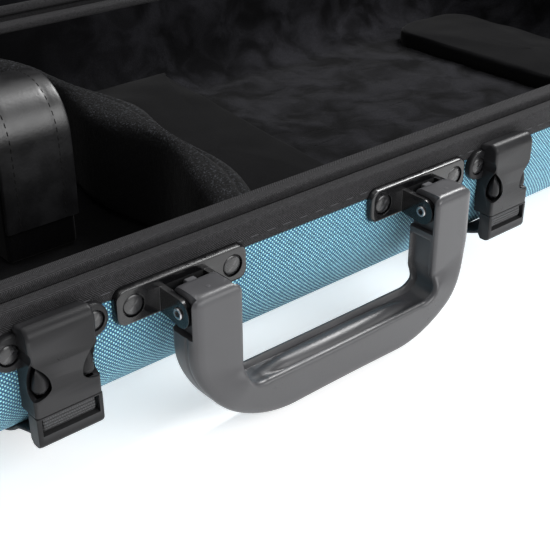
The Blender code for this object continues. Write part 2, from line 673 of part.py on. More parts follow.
def build_neck_rest(velvet, leather):
    """Cradle with a notch for the neck, and the strap that closes over it."""
    half_x, half_y = CRADLE_LENGTH / 2, CRADLE_WIDTH / 2
    notch = CRADLE_NOTCH / 2
    floor = FLOOR_TOP + GAP
    side_view = ([(-half_y, floor), (half_y, floor), (half_y, CRADLE_TOP), (notch, CRADLE_TOP)]
                 + arc((0, CRADLE_TOP - CRADLE_NOTCH_DEPTH + notch), notch, 0, -180, 8)
                 + [(-notch, CRADLE_TOP), (-half_y, CRADLE_TOP)])
    add_object("neck_cradle", prism(side_view, "X", CRADLE_X - half_x, CRADLE_X + half_x), velvet)
    outer, inner = strap_curve(0), strap_curve(STRAP_THICKNESS)
    half = STRAP_WIDTH / 2
    points = outer + list(reversed(inner))
    strap = add_object("neck_strap", prism(points, "X", CRADLE_X - half, CRADLE_X + half), leather)
    put_origin(strap, (CRADLE_X, strap_half_width(), STRAP_TOP - STRAP_BEND))


def strap_half_width():
    return CRADLE_WIDTH / 2 + GAP + STRAP_THICKNESS


def strap_curve(inset):
    """Side view of the strap, as (y, z): up behind the cradle, over the neck, down in front."""
    half = strap_half_width() - inset
    radius = STRAP_BEND - inset
    top = STRAP_TOP - inset
    back_foot = STRAP_TOP - STRAP_BACK_DROP
    front_foot = STRAP_TOP - STRAP_FRONT_DROP
    return ([(half, back_foot)] + arc((half - radius, top - radius), radius, 0, 90, 5)
            + arc((-half + radius, top - radius), radius, 90, 180, 5) + [(-half, front_foot)])


def bowl_fill(top):
    """Cross-section of the space inside the base up to a height, as (y, z), with a little play."""
    play = MM
    floor = FLOOR_TOP + GAP
    half_y = CASE_WIDTH / 2 - RIM_WIDTH - play
    corner = EDGE_FILLET - RIM_WIDTH + play
    stop = 0 if top > floor + corner else math.degrees(math.asin((top - floor - corner) / corner))
    foot = arc((half_y - corner, floor + corner), corner, -90, stop, 5)
    if stop == 0:
        foot.append((half_y, top))
    return [(-y, z) for y, z in reversed(foot)] + foot


def shoulder_line():
    """Half of the shoulder wall seen from above, from the middle to the side: (x, y, half thickness)."""
    reach = CASE_WIDTH / 2 - RIM_WIDTH - 4 * MM
    steps = 9
    points = []
    for i in range(steps + 1):
        t = i / steps
        x = 5 * MM - 6 * MM * t - 17 * MM * t ** 4
        waist = math.sin(math.pi * min(t / 0.75, 1)) ** 2
        half = 13 * MM - 3 * MM * t - 7 * MM * waist
        points.append((x, t * reach, half))
    return points


def build_shoulder_wall(plush):
    """Curved padded wall across the base for the violin's shoulders."""
    half_line = shoulder_line()
    line = [(x, -y, half) for x, y, half in reversed(half_line)] + half_line[1:]
    right = [(x + half, y) for x, y, half in line]
    left = [(x - half, y) for x, y, half in line]
    wall = add_object("shoulder_wall", prism(right + list(reversed(left)), "Z", 0, SHOULDER_TOP), plush)
    reach = CASE_LENGTH / 4
    combine(wall, "INTERSECT", prism(bowl_fill(SHOULDER_TOP), "X", -reach, reach))


def build_pads(velvet):
    x0, x1 = UPPER_PAD_X
    lean = UPPER_PAD_LEAN
    far = CASE_WIDTH / 2
    upper = add_object("pad_upper", prism(bowl_fill(PAD_TOP), "X", x0, x1 + lean), velvet)
    corner = [(x1 - lean, -far), (x1 + 2 * lean, -far), (x1 + 2 * lean, far), (x1 + lean, far)]
    combine(upper, "DIFFERENCE", prism(corner, "Z", 0, 2 * PAD_TOP))
    middle = RIGHT - LOWER_PAD_FROM_END - LOWER_PAD_LENGTH / 2
    half_y = CASE_WIDTH / 2 - EDGE_FILLET - 4 * MM
    lower = rounded_rectangle(LOWER_PAD_LENGTH / 2, half_y, 20 * MM, 4, (middle, 0))
    add_object("pad_lower", prism(lower, "Z", FLOOR_TOP + GAP, PAD_TOP), velvet)


def build_compartment(velvet, leather):
    """Box at the scroll end for rosin and strings: a wall, a hinged lid and its pull tab."""
    play = MM
    half_y = CASE_WIDTH / 2 - RIM_WIDTH - play
    wall_low, wall_high = COMPARTMENT_WALL_X, COMPARTMENT_WALL_X + COMPARTMENT_WALL
    add_object("compartment_wall", prism(bowl_fill(COMPARTMENT_TOP), "X", wall_low, wall_high), velvet)
    low = COMPARTMENT_TOP + GAP
    high = low + COMPARTMENT_LID
    left = LEFT + RIM_WIDTH + STAY_ROOM
    radius = CORNER_RADIUS - RIM_WIDTH + COMPARTMENT_CORNER_EXTRA
    plate = ([(wall_high, half_y)] + arc((left + radius, half_y - radius), radius, 90, 180, 5)
             + arc((left + radius, radius - half_y), radius, 180, 270, 5) + [(wall_high, -half_y)])
    lid = add_object("compartment_lid", prism(plate, "Z", low, high), velvet)
    middle = (left + wall_high) / 2
    tab_y = -half_y + 16 * MM
    tab = [(middle - 8 * MM, tab_y + 12 * MM)] + arc((middle, tab_y), 8 * MM, 180, 360, 8) + [(middle + 8 * MM, tab_y + 12 * MM)]
    pull = add_object("compartment_tab", prism(tab, "Z", high + GAP, high + 1.8 * MM), leather)
    for piece in (lid, pull):
        put_origin(piece, (middle, half_y, high))


# ---------------------------------------------------------------- inside of the lid

def build_bow_holders(pivot, wood, elastic):
    """Turning catch at each bow's frog and a loop for each bow's tip, under the lid's lining."""
    ceiling = LID_TOP - FLOOR_TOP - GAP
    spinner_x, tip_x = LEFT + SPINNER_FROM_END, RIGHT - TIP_LOOP_FROM_END
    for name, side in (("front", -1), ("back", 1)):
        y = side * (BACK - BOW_FROM_SIDE)
        stem = circle((spinner_x, y), 5 * MM, 16)
        spinner = add_object("bow_spinner_" + name, prism(stem, "Z", ceiling - 16 * MM, ceiling), wood)
        arm = rounded_rectangle(9 * MM, 22 * MM, 6 * MM, 3, (spinner_x, y))
        combine(spinner, "UNION", prism(arm, "Z", ceiling - 20 * MM, ceiling - 15 * MM))
        put_origin(spinner, (spinner_x, y, ceiling), pivot)
        loop = rounded_rectangle(16 * MM, 8 * MM, 4 * MM, 3)
        side_view = [(y + a, ceiling - 8 * MM + b) for a, b in loop]
        hole = [(y + 0.82 * a, ceiling - 8 * MM + 0.7 * b) for a, b in loop]
        tip = add_object("bow_tip_loop_" + name,
                         prism(side_view, "X", tip_x - 11 * MM, tip_x + 11 * MM), elastic)
        combine(tip, "DIFFERENCE", prism(hole, "X", tip_x - 12 * MM, tip_x + 12 * MM))
        put_origin(tip, pivot.location, pivot)


def opened(y, z):
    """Where a point of the closed lid stands when the lid is open, as (y, z)."""
    turned = Matrix.Rotation(-LID_OPEN, 2) @ Vector((y - HINGE_Y, z - HINGE_Z))
    return (HINGE_Y + turned.x, HINGE_Z + turned.y)


def build_stays(webbing):
    """Straps at both ends that stop the lid: from the base's rim to the lid's rim."""
    y = BACK - STAY_FROM_BACK
    outer = RIGHT - RIM_WIDTH - STAY_PLAY
    foot = (y, BASE_DEPTH - 8 * MM)
    head = opened(y, LID_RIM + 8 * MM)
    along = Vector((head[0] - foot[0], head[1] - foot[1])).normalized()
    across = Vector((-along.y, along.x)) * STAY_WIDTH / 2
    corners = [(foot[0] - across.x, foot[1] - across.y), (head[0] - across.x, head[1] - across.y),
               (head[0] + across.x, head[1] + across.y), (foot[0] + across.x, foot[1] + across.y)]
    for name, side in (("left", -1), ("right", 1)):
        low, high = sorted((side * outer, side * (outer - STAY_THICKNESS)))
        add_object("lid_stay_" + name, prism(corners, "X", low, high), webbing)


# ---------------------------------------------------------------- zip sliders

def build_sliders(metal):
    """A slider with its puller at each end of the case, parked towards the hinge."""
    for name, side in (("left", -1), ("right", 1)):
        face = side * (CASE_LENGTH / 2 + GAP)
        outer = face + side * SLIDER_THICKNESS
        low, high = sorted((face, outer))
        middle = BASE_DEPTH + GAP
        body = rounded_rectangle(SLIDER_LENGTH / 2, SLIDER_HEIGHT / 2, 2.5 * MM, 3, (SLIDER_Y, middle))
        slider = add_object("zip_slider_" + name, prism(body, "X", low, high), metal)
        put_origin(slider, (face, SLIDER_Y, middle))
        near = outer + side * 2 * GAP
        plate_low, plate_high = sorted((near, near + side * PULLER_THICKNESS))
        tab = [(SLIDER_Y + a, middle - PULLER_LENGTH / 2 + PULLER_THICKNESS / 2 + b)
               for a, b in rounded_rectangle(PULLER_WIDTH / 2, PULLER_LENGTH / 2, 3 * MM, 4)]
        puller = add_object("zip_puller_" + name, prism(tab, "X", plate_low, plate_high), metal)
        put_origin(puller, ((plate_low + plate_high) / 2, SLIDER_Y, middle))


# ---------------------------------------------------------------- assembly

def main():
    clear_scene()
    fabric = material("blue_fabric", (0.13, 0.40, 0.52), 0.85)
    tape = material("black_tape", (0.03, 0.03, 0.032), 0.75)
    velvet = material("black_velvet", (0.012, 0.012, 0.013), 0.95)
    plush = material("black_plush", (0.02, 0.02, 0.021), 0.97)
    leather = material("black_leather", (0.018, 0.018, 0.02), 0.45)
    webbing = material("black_webbing", (0.03, 0.03, 0.03), 0.8)
    grip = material("grey_moulded_plastic", (0.085, 0.085, 0.09), 0.5)
    plastic = material("black_moulded_plastic", (0.05, 0.05, 0.053), 0.45)
    metal = material("black_painted_metal", (0.015, 0.015, 0.016), 0.3)
    dark = material("black_steel", (0.02, 0.02, 0.02), 0.35, 0.8)
    steel = material("hinge_steel", (0.35, 0.35, 0.36), 0.35, 1.0)
    rubber = material("black_rubber", (0.02, 0.02, 0.02), 0.7)
    wood = material("dark_knob", (0.03, 0.03, 0.03), 0.4)

    lid_axis = bpy.data.objects.new("lid_axis", None)
    lid_axis.location = (0, HINGE_Y, HINGE_Z)
    bpy.context.scene.collection.objects.link(lid_axis)

    build_base(fabric, velvet, tape)
    build_feet(rubber)
    build_lid(lid_axis, fabric, velvet, tape)
    build_hinges(lid_axis, steel)
    build_handle_set(grip, metal, dark)
    build_buckles(plastic, dark, webbing)
    build_neck_rest(velvet, leather)
    build_shoulder_wall(plush)
    build_pads(velvet)
    build_compartment(velvet, leather)
    build_bow_holders(lid_axis, wood, webbing)
    build_stays(webbing)
    build_sliders(dark)
    lid_axis.rotation_euler = (-LID_OPEN, 0, 0)
    bpy.context.view_layer.update()


main()
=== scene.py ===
import math

import bmesh
import bpy
from mathutils import Matrix, Vector, noise


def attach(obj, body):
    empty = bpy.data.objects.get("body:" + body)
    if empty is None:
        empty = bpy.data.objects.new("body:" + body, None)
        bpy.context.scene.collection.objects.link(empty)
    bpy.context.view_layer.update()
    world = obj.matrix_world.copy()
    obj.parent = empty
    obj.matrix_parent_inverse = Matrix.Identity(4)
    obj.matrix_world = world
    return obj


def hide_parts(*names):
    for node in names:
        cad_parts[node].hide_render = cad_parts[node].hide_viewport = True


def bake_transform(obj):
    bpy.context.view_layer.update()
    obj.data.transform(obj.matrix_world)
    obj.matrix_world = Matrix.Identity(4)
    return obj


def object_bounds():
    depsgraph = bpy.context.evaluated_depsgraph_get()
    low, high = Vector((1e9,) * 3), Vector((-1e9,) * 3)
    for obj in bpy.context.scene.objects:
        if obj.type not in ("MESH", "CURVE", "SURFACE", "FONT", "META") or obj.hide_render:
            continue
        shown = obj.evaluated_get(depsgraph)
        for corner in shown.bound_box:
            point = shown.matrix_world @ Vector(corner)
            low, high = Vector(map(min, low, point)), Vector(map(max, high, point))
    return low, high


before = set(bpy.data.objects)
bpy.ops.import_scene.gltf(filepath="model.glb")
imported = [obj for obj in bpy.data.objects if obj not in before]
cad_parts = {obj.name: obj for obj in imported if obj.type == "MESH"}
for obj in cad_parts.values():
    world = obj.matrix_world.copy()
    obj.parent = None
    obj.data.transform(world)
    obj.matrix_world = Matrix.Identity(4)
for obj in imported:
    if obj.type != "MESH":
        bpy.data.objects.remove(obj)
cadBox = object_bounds()
mm = 0.001

# Sizes of the case that several pieces share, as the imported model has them.
case = {
    "length": 790 * mm,
    "width": 274 * mm,
    "corner": 45 * mm,  # seen from above
    "fillet": 38 * mm,  # where the sides turn under
    "baseDepth": 62 * mm,
    "lidDepth": 60 * mm,
    "shellWall": 4 * mm,
    "rimWidth": 14 * mm,
    "floor": 8.3 * mm,
    "gap": 0.3 * mm,
    "lidOpen": math.radians(100),
    "fixingHeight": 48 * mm,  # screws and rivets
    "hingeAt": 230 * mm,  # from the middle of the length
}
front = -case["width"] / 2
back = case["width"] / 2
gap = case["gap"]
hingeLine = Vector((0, back + gap + 2.6 * mm, case["baseDepth"] + gap))
lidTop = case["baseDepth"] + 2 * gap + case["lidDepth"]
toHinge = Matrix.Translation(hingeLine)
openLid = toHinge @ Matrix.Rotation(-case["lidOpen"], 4, "X") @ toHinge.inverted()


# Points and outlines

def arcPoints(centre, radius, start, stop, steps):
    angles = [math.radians(start + (stop - start) * i / steps) for i in range(steps + 1)]
    return [(centre[0] + radius * math.cos(a), centre[1] + radius * math.sin(a)) for a in angles]


def roundRectangle(halfX, halfY, radius, steps=6, centre=(0, 0), runs=(1, 1)):
    # runs: how many pieces the sides along X and along Y are split into
    x, y = halfX - radius, halfY - radius
    corners = ((1, 1, 0), (-1, 1, 90), (-1, -1, 180), (1, -1, 270))
    points = []
    for i, (sx, sy, start) in enumerate(corners):
        points += arcPoints((centre[0] + sx * x, centre[1] + sy * y), radius, start, start + 90, steps)
        nx, ny, turn = corners[(i + 1) % 4]
        first = points[-1]
        following = arcPoints((centre[0] + nx * x, centre[1] + ny * y), radius, turn, turn + 1, 1)[0]
        count = runs[0] if i % 2 == 0 else runs[1]
        for k in range(1, count):
            points.append((first[0] + (following[0] - first[0]) * k / count,
                           first[1] + (following[1] - first[1]) * k / count))
    return points


def caseOutline(inset, runs=(72, 24)):
    radius = max(case["corner"] - inset, 0.5 * mm)
    return roundRectangle(case["length"] / 2 - inset, case["width"] / 2 - inset, radius, 10, (0, 0), runs)


def caseRing(section, place=None, runs=(72, 24)):
    # section is a list of (inset, height); place turns the points of the lid open
    rings = [[Vector((x, y, height)) for x, y in caseOutline(inset, runs)] for inset, height in section]
    return [[place @ p for p in ring] for ring in rings] if place else rings


def smoothStep(value, low, high):
    t = min(max((value - low) / (high - low), 0), 1)
    return t * t * (3 - 2 * t)


# Meshes

def skin(name, loops, closed=False, caps=True):
    # Skins loops of equal length, with a weave map in metres along them and across them.
    bm = bmesh.new()
    weave = bm.loops.layers.uv.new("weave")
    rows = [[bm.verts.new(point) for point in loop] for loop in loops]
    count = len(rows[0])
    steps = [[math.dist(loop[i], loop[(i + 1) % count]) for i in range(count)] for loop in loops]
    along = [0.0]
    for step in max(steps, key=sum):  # the longest loop, so the weave isn't stretched at the corners
        along.append(along[-1] + step)
    across = [0.0]
    pairs = list(zip(loops, loops[1:] + loops[:1])) if closed else list(zip(loops, loops[1:]))
    for low, high in pairs:
        picks = range(0, count, max(1, count // 12))
        across.append(across[-1] + sum((Vector(high[i]) - Vector(low[i])).length for i in picks) / len(picks))
    for k in range(len(pairs)):
        low, high = rows[k], rows[(k + 1) % len(rows)]
        for i in range(count):
            j = (i + 1) % count
            face = bm.faces.new((low[i], low[j], high[j], high[i]))
            spots = ((along[i], across[k]), (along[i + 1], across[k]),
                     (along[i + 1], across[k + 1]), (along[i], across[k + 1]))
            for corner, spot in zip(face.loops, spots):
                corner[weave].uv = spot
    if caps and not closed:
        for row in (rows[0], rows[-1]):
            face = bm.faces.new(row)
            for corner in face.loops:
                corner[weave].uv = (corner.vert.co.x, corner.vert.co.y)
    return asObject(name, bm)


def asObject(name, bm, sharpAngle=40):
    bmesh.ops.remove_doubles(bm, verts=bm.verts, dist=1e-7)
    bmesh.ops.dissolve_degenerate(bm, dist=1e-7, edges=bm.edges)
    bmesh.ops.recalc_face_normals(bm, faces=bm.faces)
    mesh = bpy.data.meshes.new(name)
    bm.to_mesh(mesh)
    bm.free()
    mesh.shade_smooth()
    mesh.set_sharp_from_angle(angle=math.radians(sharpAngle))
    obj = bpy.data.objects.new(name, mesh)
    bpy.context.scene.collection.objects.link(obj)
    return obj


def prism(name, points, axis, low, high):
    def place(point, depth):
        out = list(point)
        out.insert("XYZ".index(axis), depth)
        return Vector(out)
    return skin(name, [[place(p, low) for p in points], [place(p, high) for p in points]])


def block(name, low, high):
    corners = [(low[0], low[1]), (high[0], low[1]), (high[0], high[1]), (low[0], high[1])]
    return prism(name, corners, "Z", low[2], high[2])


def turned(name, profile, axis, centre, steps=28):
    # A turned piece: profile is a list of (place along the axis, radius); a zero radius closes an end.
    index = "XYZ".index(axis)
    loops = []
    for depth, radius in profile:
        ring = []
        for px, py in arcPoints((0, 0), max(radius, 0.02 * mm), 0, 360 - 360 / steps, steps - 1):
            spot = [px, py]
            spot.insert(index, depth)
            ring.append(Vector(spot) + Vector(centre))
        loops.append(ring)
    return skin(name, loops)


def applyModifiers(obj, sharpAngle=40):
    graph = bpy.context.evaluated_depsgraph_get()
    mesh = bpy.data.meshes.new_from_object(obj.evaluated_get(graph))
    obj.modifiers.clear()
    obj.data = mesh
    mesh.shade_smooth()
    mesh.set_sharp_from_angle(angle=math.radians(sharpAngle))
    return obj


def cutOrJoin(obj, operation, *tools):
    for tool in tools:
        step = obj.modifiers.new("step", "BOOLEAN")
        step.operation = operation
        step.object = tool
        applyModifiers(obj)
        bpy.data.objects.remove(tool)
    return obj


def softenEdges(obj, width, segments=2, angle=35):
    step = obj.modifiers.new("step", "BEVEL")
    step.width = width
    step.segments = segments
    step.limit_method = "ANGLE"
    step.angle_limit = math.radians(angle)
    step.use_clamp_overlap = True
    applyModifiers(obj, 50)
    return evenShading(obj)


def evenShading(obj):
    # Large faces keep their own direction, so the narrow rounded edges beside them do not smear it
    step = obj.modifiers.new("step", "WEIGHTED_NORMAL")
    step.keep_sharp = True
    step.weight = 80
    mesh = bpy.data.meshes.new_from_object(obj.evaluated_get(bpy.context.evaluated_depsgraph_get()))
    obj.modifiers.clear()
    obj.data = mesh
    return obj


def subdivide(obj, levels=1):
    step = obj.modifiers.new("step", "SUBSURF")
    step.levels = levels
    step.render_levels = levels
    return applyModifiers(obj, 60)


def ruffle(obj, size, height, region=None):
    # Uneven surface of a pile fabric: each point moves a little along its normal.
    for vertex in obj.data.vertices:
        if region is None or region(vertex.co):
            vertex.co += vertex.normal * height * noise.noise(vertex.co / size)
    return obj


def dress(obj, finish, slotName, *nodes):
    obj.data.materials.clear()
    obj.data.materials.append(finishes[finish])
    if nodes:
        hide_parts(*nodes)


def finishPiece(obj, finish, body, slotName, *nodes):
    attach(obj, body)
    dress(obj, finish, slotName, *nodes)
    return obj


def stitchRow(name, spots, length, radius):
    # spots is a list of (place, direction, outward); each stitch is a bead stretched along its seam
    bm = bmesh.new()
    for place, direction, outward in spots:
        along = direction.normalized()
        up = outward.normalized()
        side = along.cross(up)
        shares = ((-0.5, 0.15), (-0.42, 0.7), (-0.2, 1), (0.2, 1), (0.42, 0.7), (0.5, 0.15))
        rows = []
        for share, width in shares:
            ring = []
            for a, b in arcPoints((0, 0), radius * width, 0, 300, 5):
                ring.append(bm.verts.new(place + along * share * length + side * a + up * (b * 0.8)))
            rows.append(ring)
        for low, high in zip(rows, rows[1:]):
            for i in range(6):
                j = (i + 1) % 6
                bm.faces.new((low[i], low[j], high[j], high[i]))
        bm.faces.new(rows[0])
        bm.faces.new(rows[-1])
    return asObject(name, bm)


# Finishes. Each maker below sets a base colour, then adds the marks of the surface; some also paint in light and
# shade, as noted where they do.

def newFinish(name, colour, roughness, **sockets):
    finish = bpy.data.materials.new(name)
    finish.use_nodes = True
    shader = finish.node_tree.nodes["Principled BSDF"]
    shader.inputs["Base Color"].default_value = (*colour, 1)
    shader.inputs["Roughness"].default_value = roughness
    for key, value in sockets.items():
        shader.inputs[key.replace("_", " ")].default_value = value
    return finish, shader


def addNode(finish, kind, inputs=None, **settings):
    made = finish.node_tree.nodes.new(kind)
    for key, value in settings.items():
        setattr(made, key, value)
    for key, value in (inputs or {}).items():
        if isinstance(value, bpy.types.NodeSocket):
            finish.node_tree.links.new(value, made.inputs[key])
        else:
            made.inputs[key].default_value = value
    return made


def calc(finish, operation, a, b=0.0):
    return addNode(finish, "ShaderNodeMath", {0: a, 1: b}, operation=operation).outputs[0]


def mixColour(finish, factor, a, b):
    made = addNode(finish, "ShaderNodeMix", {"Factor": factor}, data_type="RGBA")
    for socket, value in ((made.inputs[6], a), (made.inputs[7], b)):
        if isinstance(value, bpy.types.NodeSocket):
            finish.node_tree.links.new(value, socket)
        else:
            socket.default_value = (*value, 1)
    return made.outputs[2]


def grain(finish, scale, detail=2.0, distortion=0.0, roughness=0.5):
    spot = addNode(finish, "ShaderNodeTexCoord").outputs["Object"]
    made = addNode(finish, "ShaderNodeTexNoise", {"Vector": spot, "Scale": scale, "Detail": detail,
                                                  "Roughness": roughness, "Distortion": distortion})
    return made.outputs["Fac"]


def remap(finish, value, low, high, newLow=0.0, newHigh=1.0):
    made = addNode(finish, "ShaderNodeMapRange", {0: value, 1: low, 2: high, 3: newLow, 4: newHigh})
    made.interpolation_type = "SMOOTHSTEP"
    return made.outputs[0]


def weaveMap(finish):
    spot = addNode(finish, "ShaderNodeUVMap", uv_map="weave").outputs["UV"]
    parts = addNode(finish, "ShaderNodeSeparateXYZ", {0: spot})
    return parts.outputs[0], parts.outputs[1]


def placeOn(finish, kind):
    # X, Y and Z of a place on the piece, or of the way its surface faces
    spot = addNode(finish, "ShaderNodeTexCoord").outputs[kind]
    return addNode(finish, "ShaderNodeSeparateXYZ", {0: spot})


def addBump(finish, shader, height, distance, strength=1.0):
    made = addNode(finish, "ShaderNodeBump", {"Height": height, "Distance": distance, "Strength": strength})
    finish.node_tree.links.new(made.outputs[0], shader.inputs["Normal"])


def useColour(finish, shader, colour):
    finish.node_tree.links.new(colour, shader.inputs["Base Color"])


def cell(finish, value, size):
    # Which thread a place is on, and a round crest over each thread
    scaled = calc(finish, "DIVIDE", value, size)
    number = calc(finish, "FLOOR", scaled)
    offset = calc(finish, "SUBTRACT", calc(finish, "SUBTRACT", scaled, number), 0.5)
    return number, calc(finish, "COSINE", calc(finish, "MULTIPLY", offset, math.pi))


fabricLook = {"thread": 0.90 * mm, "light": (0.40, 0.88, 1.0), "middle": (0.02, 0.16, 0.34),
              "dark": (0.001, 0.010, 0.030), "bump": 0.35 * mm}


def makeBlueCanvas():
    look = fabricLook
    finish, shader = newFinish("blueCanvas", look["middle"], 0.75, Sheen_Weight=0.05, Sheen_Roughness=0.5)
    u, v = weaveMap(finish)
    wobble = calc(finish, "MULTIPLY", calc(finish, "SUBTRACT", grain(finish, 420, 1), 0.5), 0.22 * mm)
    column, crestU = cell(finish, calc(finish, "ADD", u, wobble), look["thread"])
    row, crestV = cell(finish, calc(finish, "ADD", v, wobble), look["thread"])
    over = calc(finish, "PINGPONG", calc(finish, "ADD", column, row), 1.0)
    under = calc(finish, "SUBTRACT", 1.0, over)
    warp = calc(finish, "MULTIPLY", over, calc(finish, "MULTIPLY", calc(finish, "POWER", crestU, 0.6),
                                               calc(finish, "POWER", crestV, 0.6)))
    weft = calc(finish, "MULTIPLY", under, calc(finish, "MULTIPLY", calc(finish, "POWER", crestV, 0.9),
                                                calc(finish, "POWER", crestU, 0.5)))
    melange = remap(finish, grain(finish, 900, 3), 0.3, 0.7, 0.75, 1.12)
    # Painted light: the crests of the threads on top are painted pale cyan as a highlight, and the gaps beside
    # them dark as shade. The bump below gives the threads their real relief, and the melange is the yarn's own
    # uneven tone.
    base = mixColour(finish, weft, look["dark"], look["middle"])
    weaveWithPaintedLight = mixColour(finish, warp, base, look["light"])
    toned = addNode(finish, "ShaderNodeHueSaturation", {"Value": melange, "Color": weaveWithPaintedLight}).outputs[0]
    useColour(finish, shader, toned)
    threads = calc(finish, "MAXIMUM", warp, calc(finish, "MULTIPLY", weft, 0.75))
    addBump(finish, shader, threads, look["bump"])
    return finish


tapeLook = {"band": 3.3 * mm, "thread": 0.92 * mm, "light": (0.038, 0.037, 0.040),
            "dark": (0.001, 0.001, 0.0012), "bump": 0.18 * mm}


def makeHerringbone():
    finish, shader = newFinish("herringboneTape", tapeLook["dark"], 0.85, Specular_IOR_Level=0.25)
    u, v = weaveMap(finish)
    band = cell(finish, v, tapeLook["band"])[0]
    turn = calc(finish, "SUBTRACT", calc(finish, "MULTIPLY", calc(finish, "PINGPONG", band, 1.0), 2.0), 1.0)
    slant = calc(finish, "ADD", u, calc(finish, "MULTIPLY", turn, v))
    crest = cell(finish, slant, tapeLook["thread"])[1]
    fray = remap(finish, grain(finish, 1300, 2), 0.25, 0.7, 0.35, 1.0)
    height = calc(finish, "MULTIPLY", calc(finish, "POWER", crest, 1.6), fray)
    useColour(finish, shader, mixColour(finish, height, tapeLook["dark"], tapeLook["light"]))
    addBump(finish, shader, height, tapeLook["bump"])
    return finish


def makeVelvet(name, dark, light, patches, sharp, bump, shadeEndsAt=None):
    finish, shader = newFinish(name, dark, 0.95, Sheen_Weight=0.05, Sheen_Roughness=0.4,
                               Specular_IOR_Level=0.06)
    blotch = remap(finish, grain(finish, patches, 3, 0.5, 0.5), 0.5 - sharp, 0.5 + sharp)
    pile = remap(finish, grain(finish, 1700, 2), 0.35, 0.75, 0.55, 1.35)
    if shadeEndsAt is not None:
        # Painted shade: towards the neck end, short of this place along the case, the light patches fade out, so
        # the lining there is painted dark like the shadowed pocket beside the neck strap
        along = placeOn(finish, "Object").outputs[0]
        crushedBeyondShade = remap(finish, along, shadeEndsAt - 60 * mm, shadeEndsAt + 60 * mm)
        blotch = calc(finish, "MULTIPLY", blotch, crushedBeyondShade)
    colour = mixColour(finish, blotch, dark, light)
    toned = addNode(finish, "ShaderNodeHueSaturation", {"Value": pile, "Color": colour}).outputs[0]
    useColour(finish, shader, toned)
    addBump(finish, shader, calc(finish, "ADD", blotch, calc(finish, "MULTIPLY", pile, 0.15)), bump, 0.5)
    return finish


def makePlush():
    # Short dark pile with light flecks; the flecks carry a painted highlight, strongest on faces turned upwards
    # and fading down the sides
    finish, shader = newFinish("blackPlush", (0.004, 0.004, 0.005), 0.95, Sheen_Weight=0.03,
                               Sheen_Roughness=0.3, Specular_IOR_Level=0.2)
    tuft = grain(finish, 1150, 3, 0.3, 0.7)
    # painted highlight: faces turned up get most of the flecks, side faces few
    paintedTopLight = remap(finish, placeOn(finish, "Normal").outputs[2], 0.15, 0.9)
    flecksWithTopLight = calc(finish, "MULTIPLY", remap(finish, tuft, 0.54, 0.70), calc(finish, "ADD", paintedTopLight, 0.12))
    useColour(finish, shader, mixColour(finish, flecksWithTopLight, (0.0012, 0.0012, 0.0015), (0.042, 0.045, 0.052)))
    addBump(finish, shader, tuft, 0.6 * mm, 0.6)
    return finish


def makeLeather():
    finish, shader = newFinish("blackLeathercloth", (0.005, 0.005, 0.006), 0.4, Specular_IOR_Level=0.6)
    spot = addNode(finish, "ShaderNodeTexCoord").outputs["Object"]
    cells = addNode(finish, "ShaderNodeTexVoronoi", {"Vector": spot, "Scale": 900}, feature="SMOOTH_F1")
    soft = grain(finish, 90, 3)
    height = calc(finish, "ADD", calc(finish, "MULTIPLY", cells.outputs["Distance"], 0.6),
                  calc(finish, "MULTIPLY", soft, 0.8))
    useColour(finish, shader, mixColour(finish, remap(finish, soft, 0.35, 0.7), (0.003, 0.003, 0.0035),
                                        (0.007, 0.007, 0.008)))
    addBump(finish, shader, height, 0.15 * mm, 0.3)
    finish.node_tree.links.new(remap(finish, soft, 0.3, 0.7, 0.36, 0.43), shader.inputs["Roughness"])
    return finish


webbingLook = {"width": 19.6 * mm, "thickness": 1.4 * mm, "sewnAt": 95 * mm, "rib": 1.05 * mm,
               "strand": 0.9 * mm}


def makeWebbing():
    finish, shader = newFinish("ribbedWebbing", (0.02, 0.02, 0.021), 0.75)
    u, v = weaveMap(finish)
    rib, crestRib = cell(finish, v, webbingLook["rib"])
    shift = calc(finish, "MULTIPLY", calc(finish, "PINGPONG", rib, 1.0), webbingLook["strand"] / 2)
    crestStrand = cell(finish, calc(finish, "ADD", u, shift), webbingLook["strand"])[1]
    height = calc(finish, "MULTIPLY", calc(finish, "POWER", crestRib, 0.8),
                  calc(finish, "POWER", crestStrand, 0.25))
    useColour(finish, shader, mixColour(finish, height, (0.002, 0.002, 0.0025), (0.050, 0.051, 0.054)))
    addBump(finish, shader, height, 0.3 * mm)
    return finish


def makeMoulded(name, colour, roughness, bump=0.05 * mm, shine=0.5):
    finish, shader = newFinish(name, colour, roughness, Specular_IOR_Level=shine)
    mottle = grain(finish, 55, 3)
    spark = grain(finish, 2600, 2)
    worn = addNode(finish, "ShaderNodeNewGeometry").outputs["Pointiness"]
    edge = remap(finish, worn, 0.52, 0.62)
    lighter = tuple(min(c * 1.35 + 0.01, 1) for c in colour)
    darker = tuple(c * 0.86 for c in colour)
    base = mixColour(finish, remap(finish, mottle, 0.3, 0.7), darker, colour)
    useColour(finish, shader, mixColour(finish, edge, base, lighter))
    mixed = calc(finish, "ADD", remap(finish, mottle, 0.3, 0.7, roughness - 0.05, roughness + 0.06),
                 calc(finish, "MULTIPLY", calc(finish, "SUBTRACT", spark, 0.5), 0.12))
    finish.node_tree.links.new(mixed, shader.inputs["Roughness"])
    addBump(finish, shader, spark, bump, 0.6)
    return finish


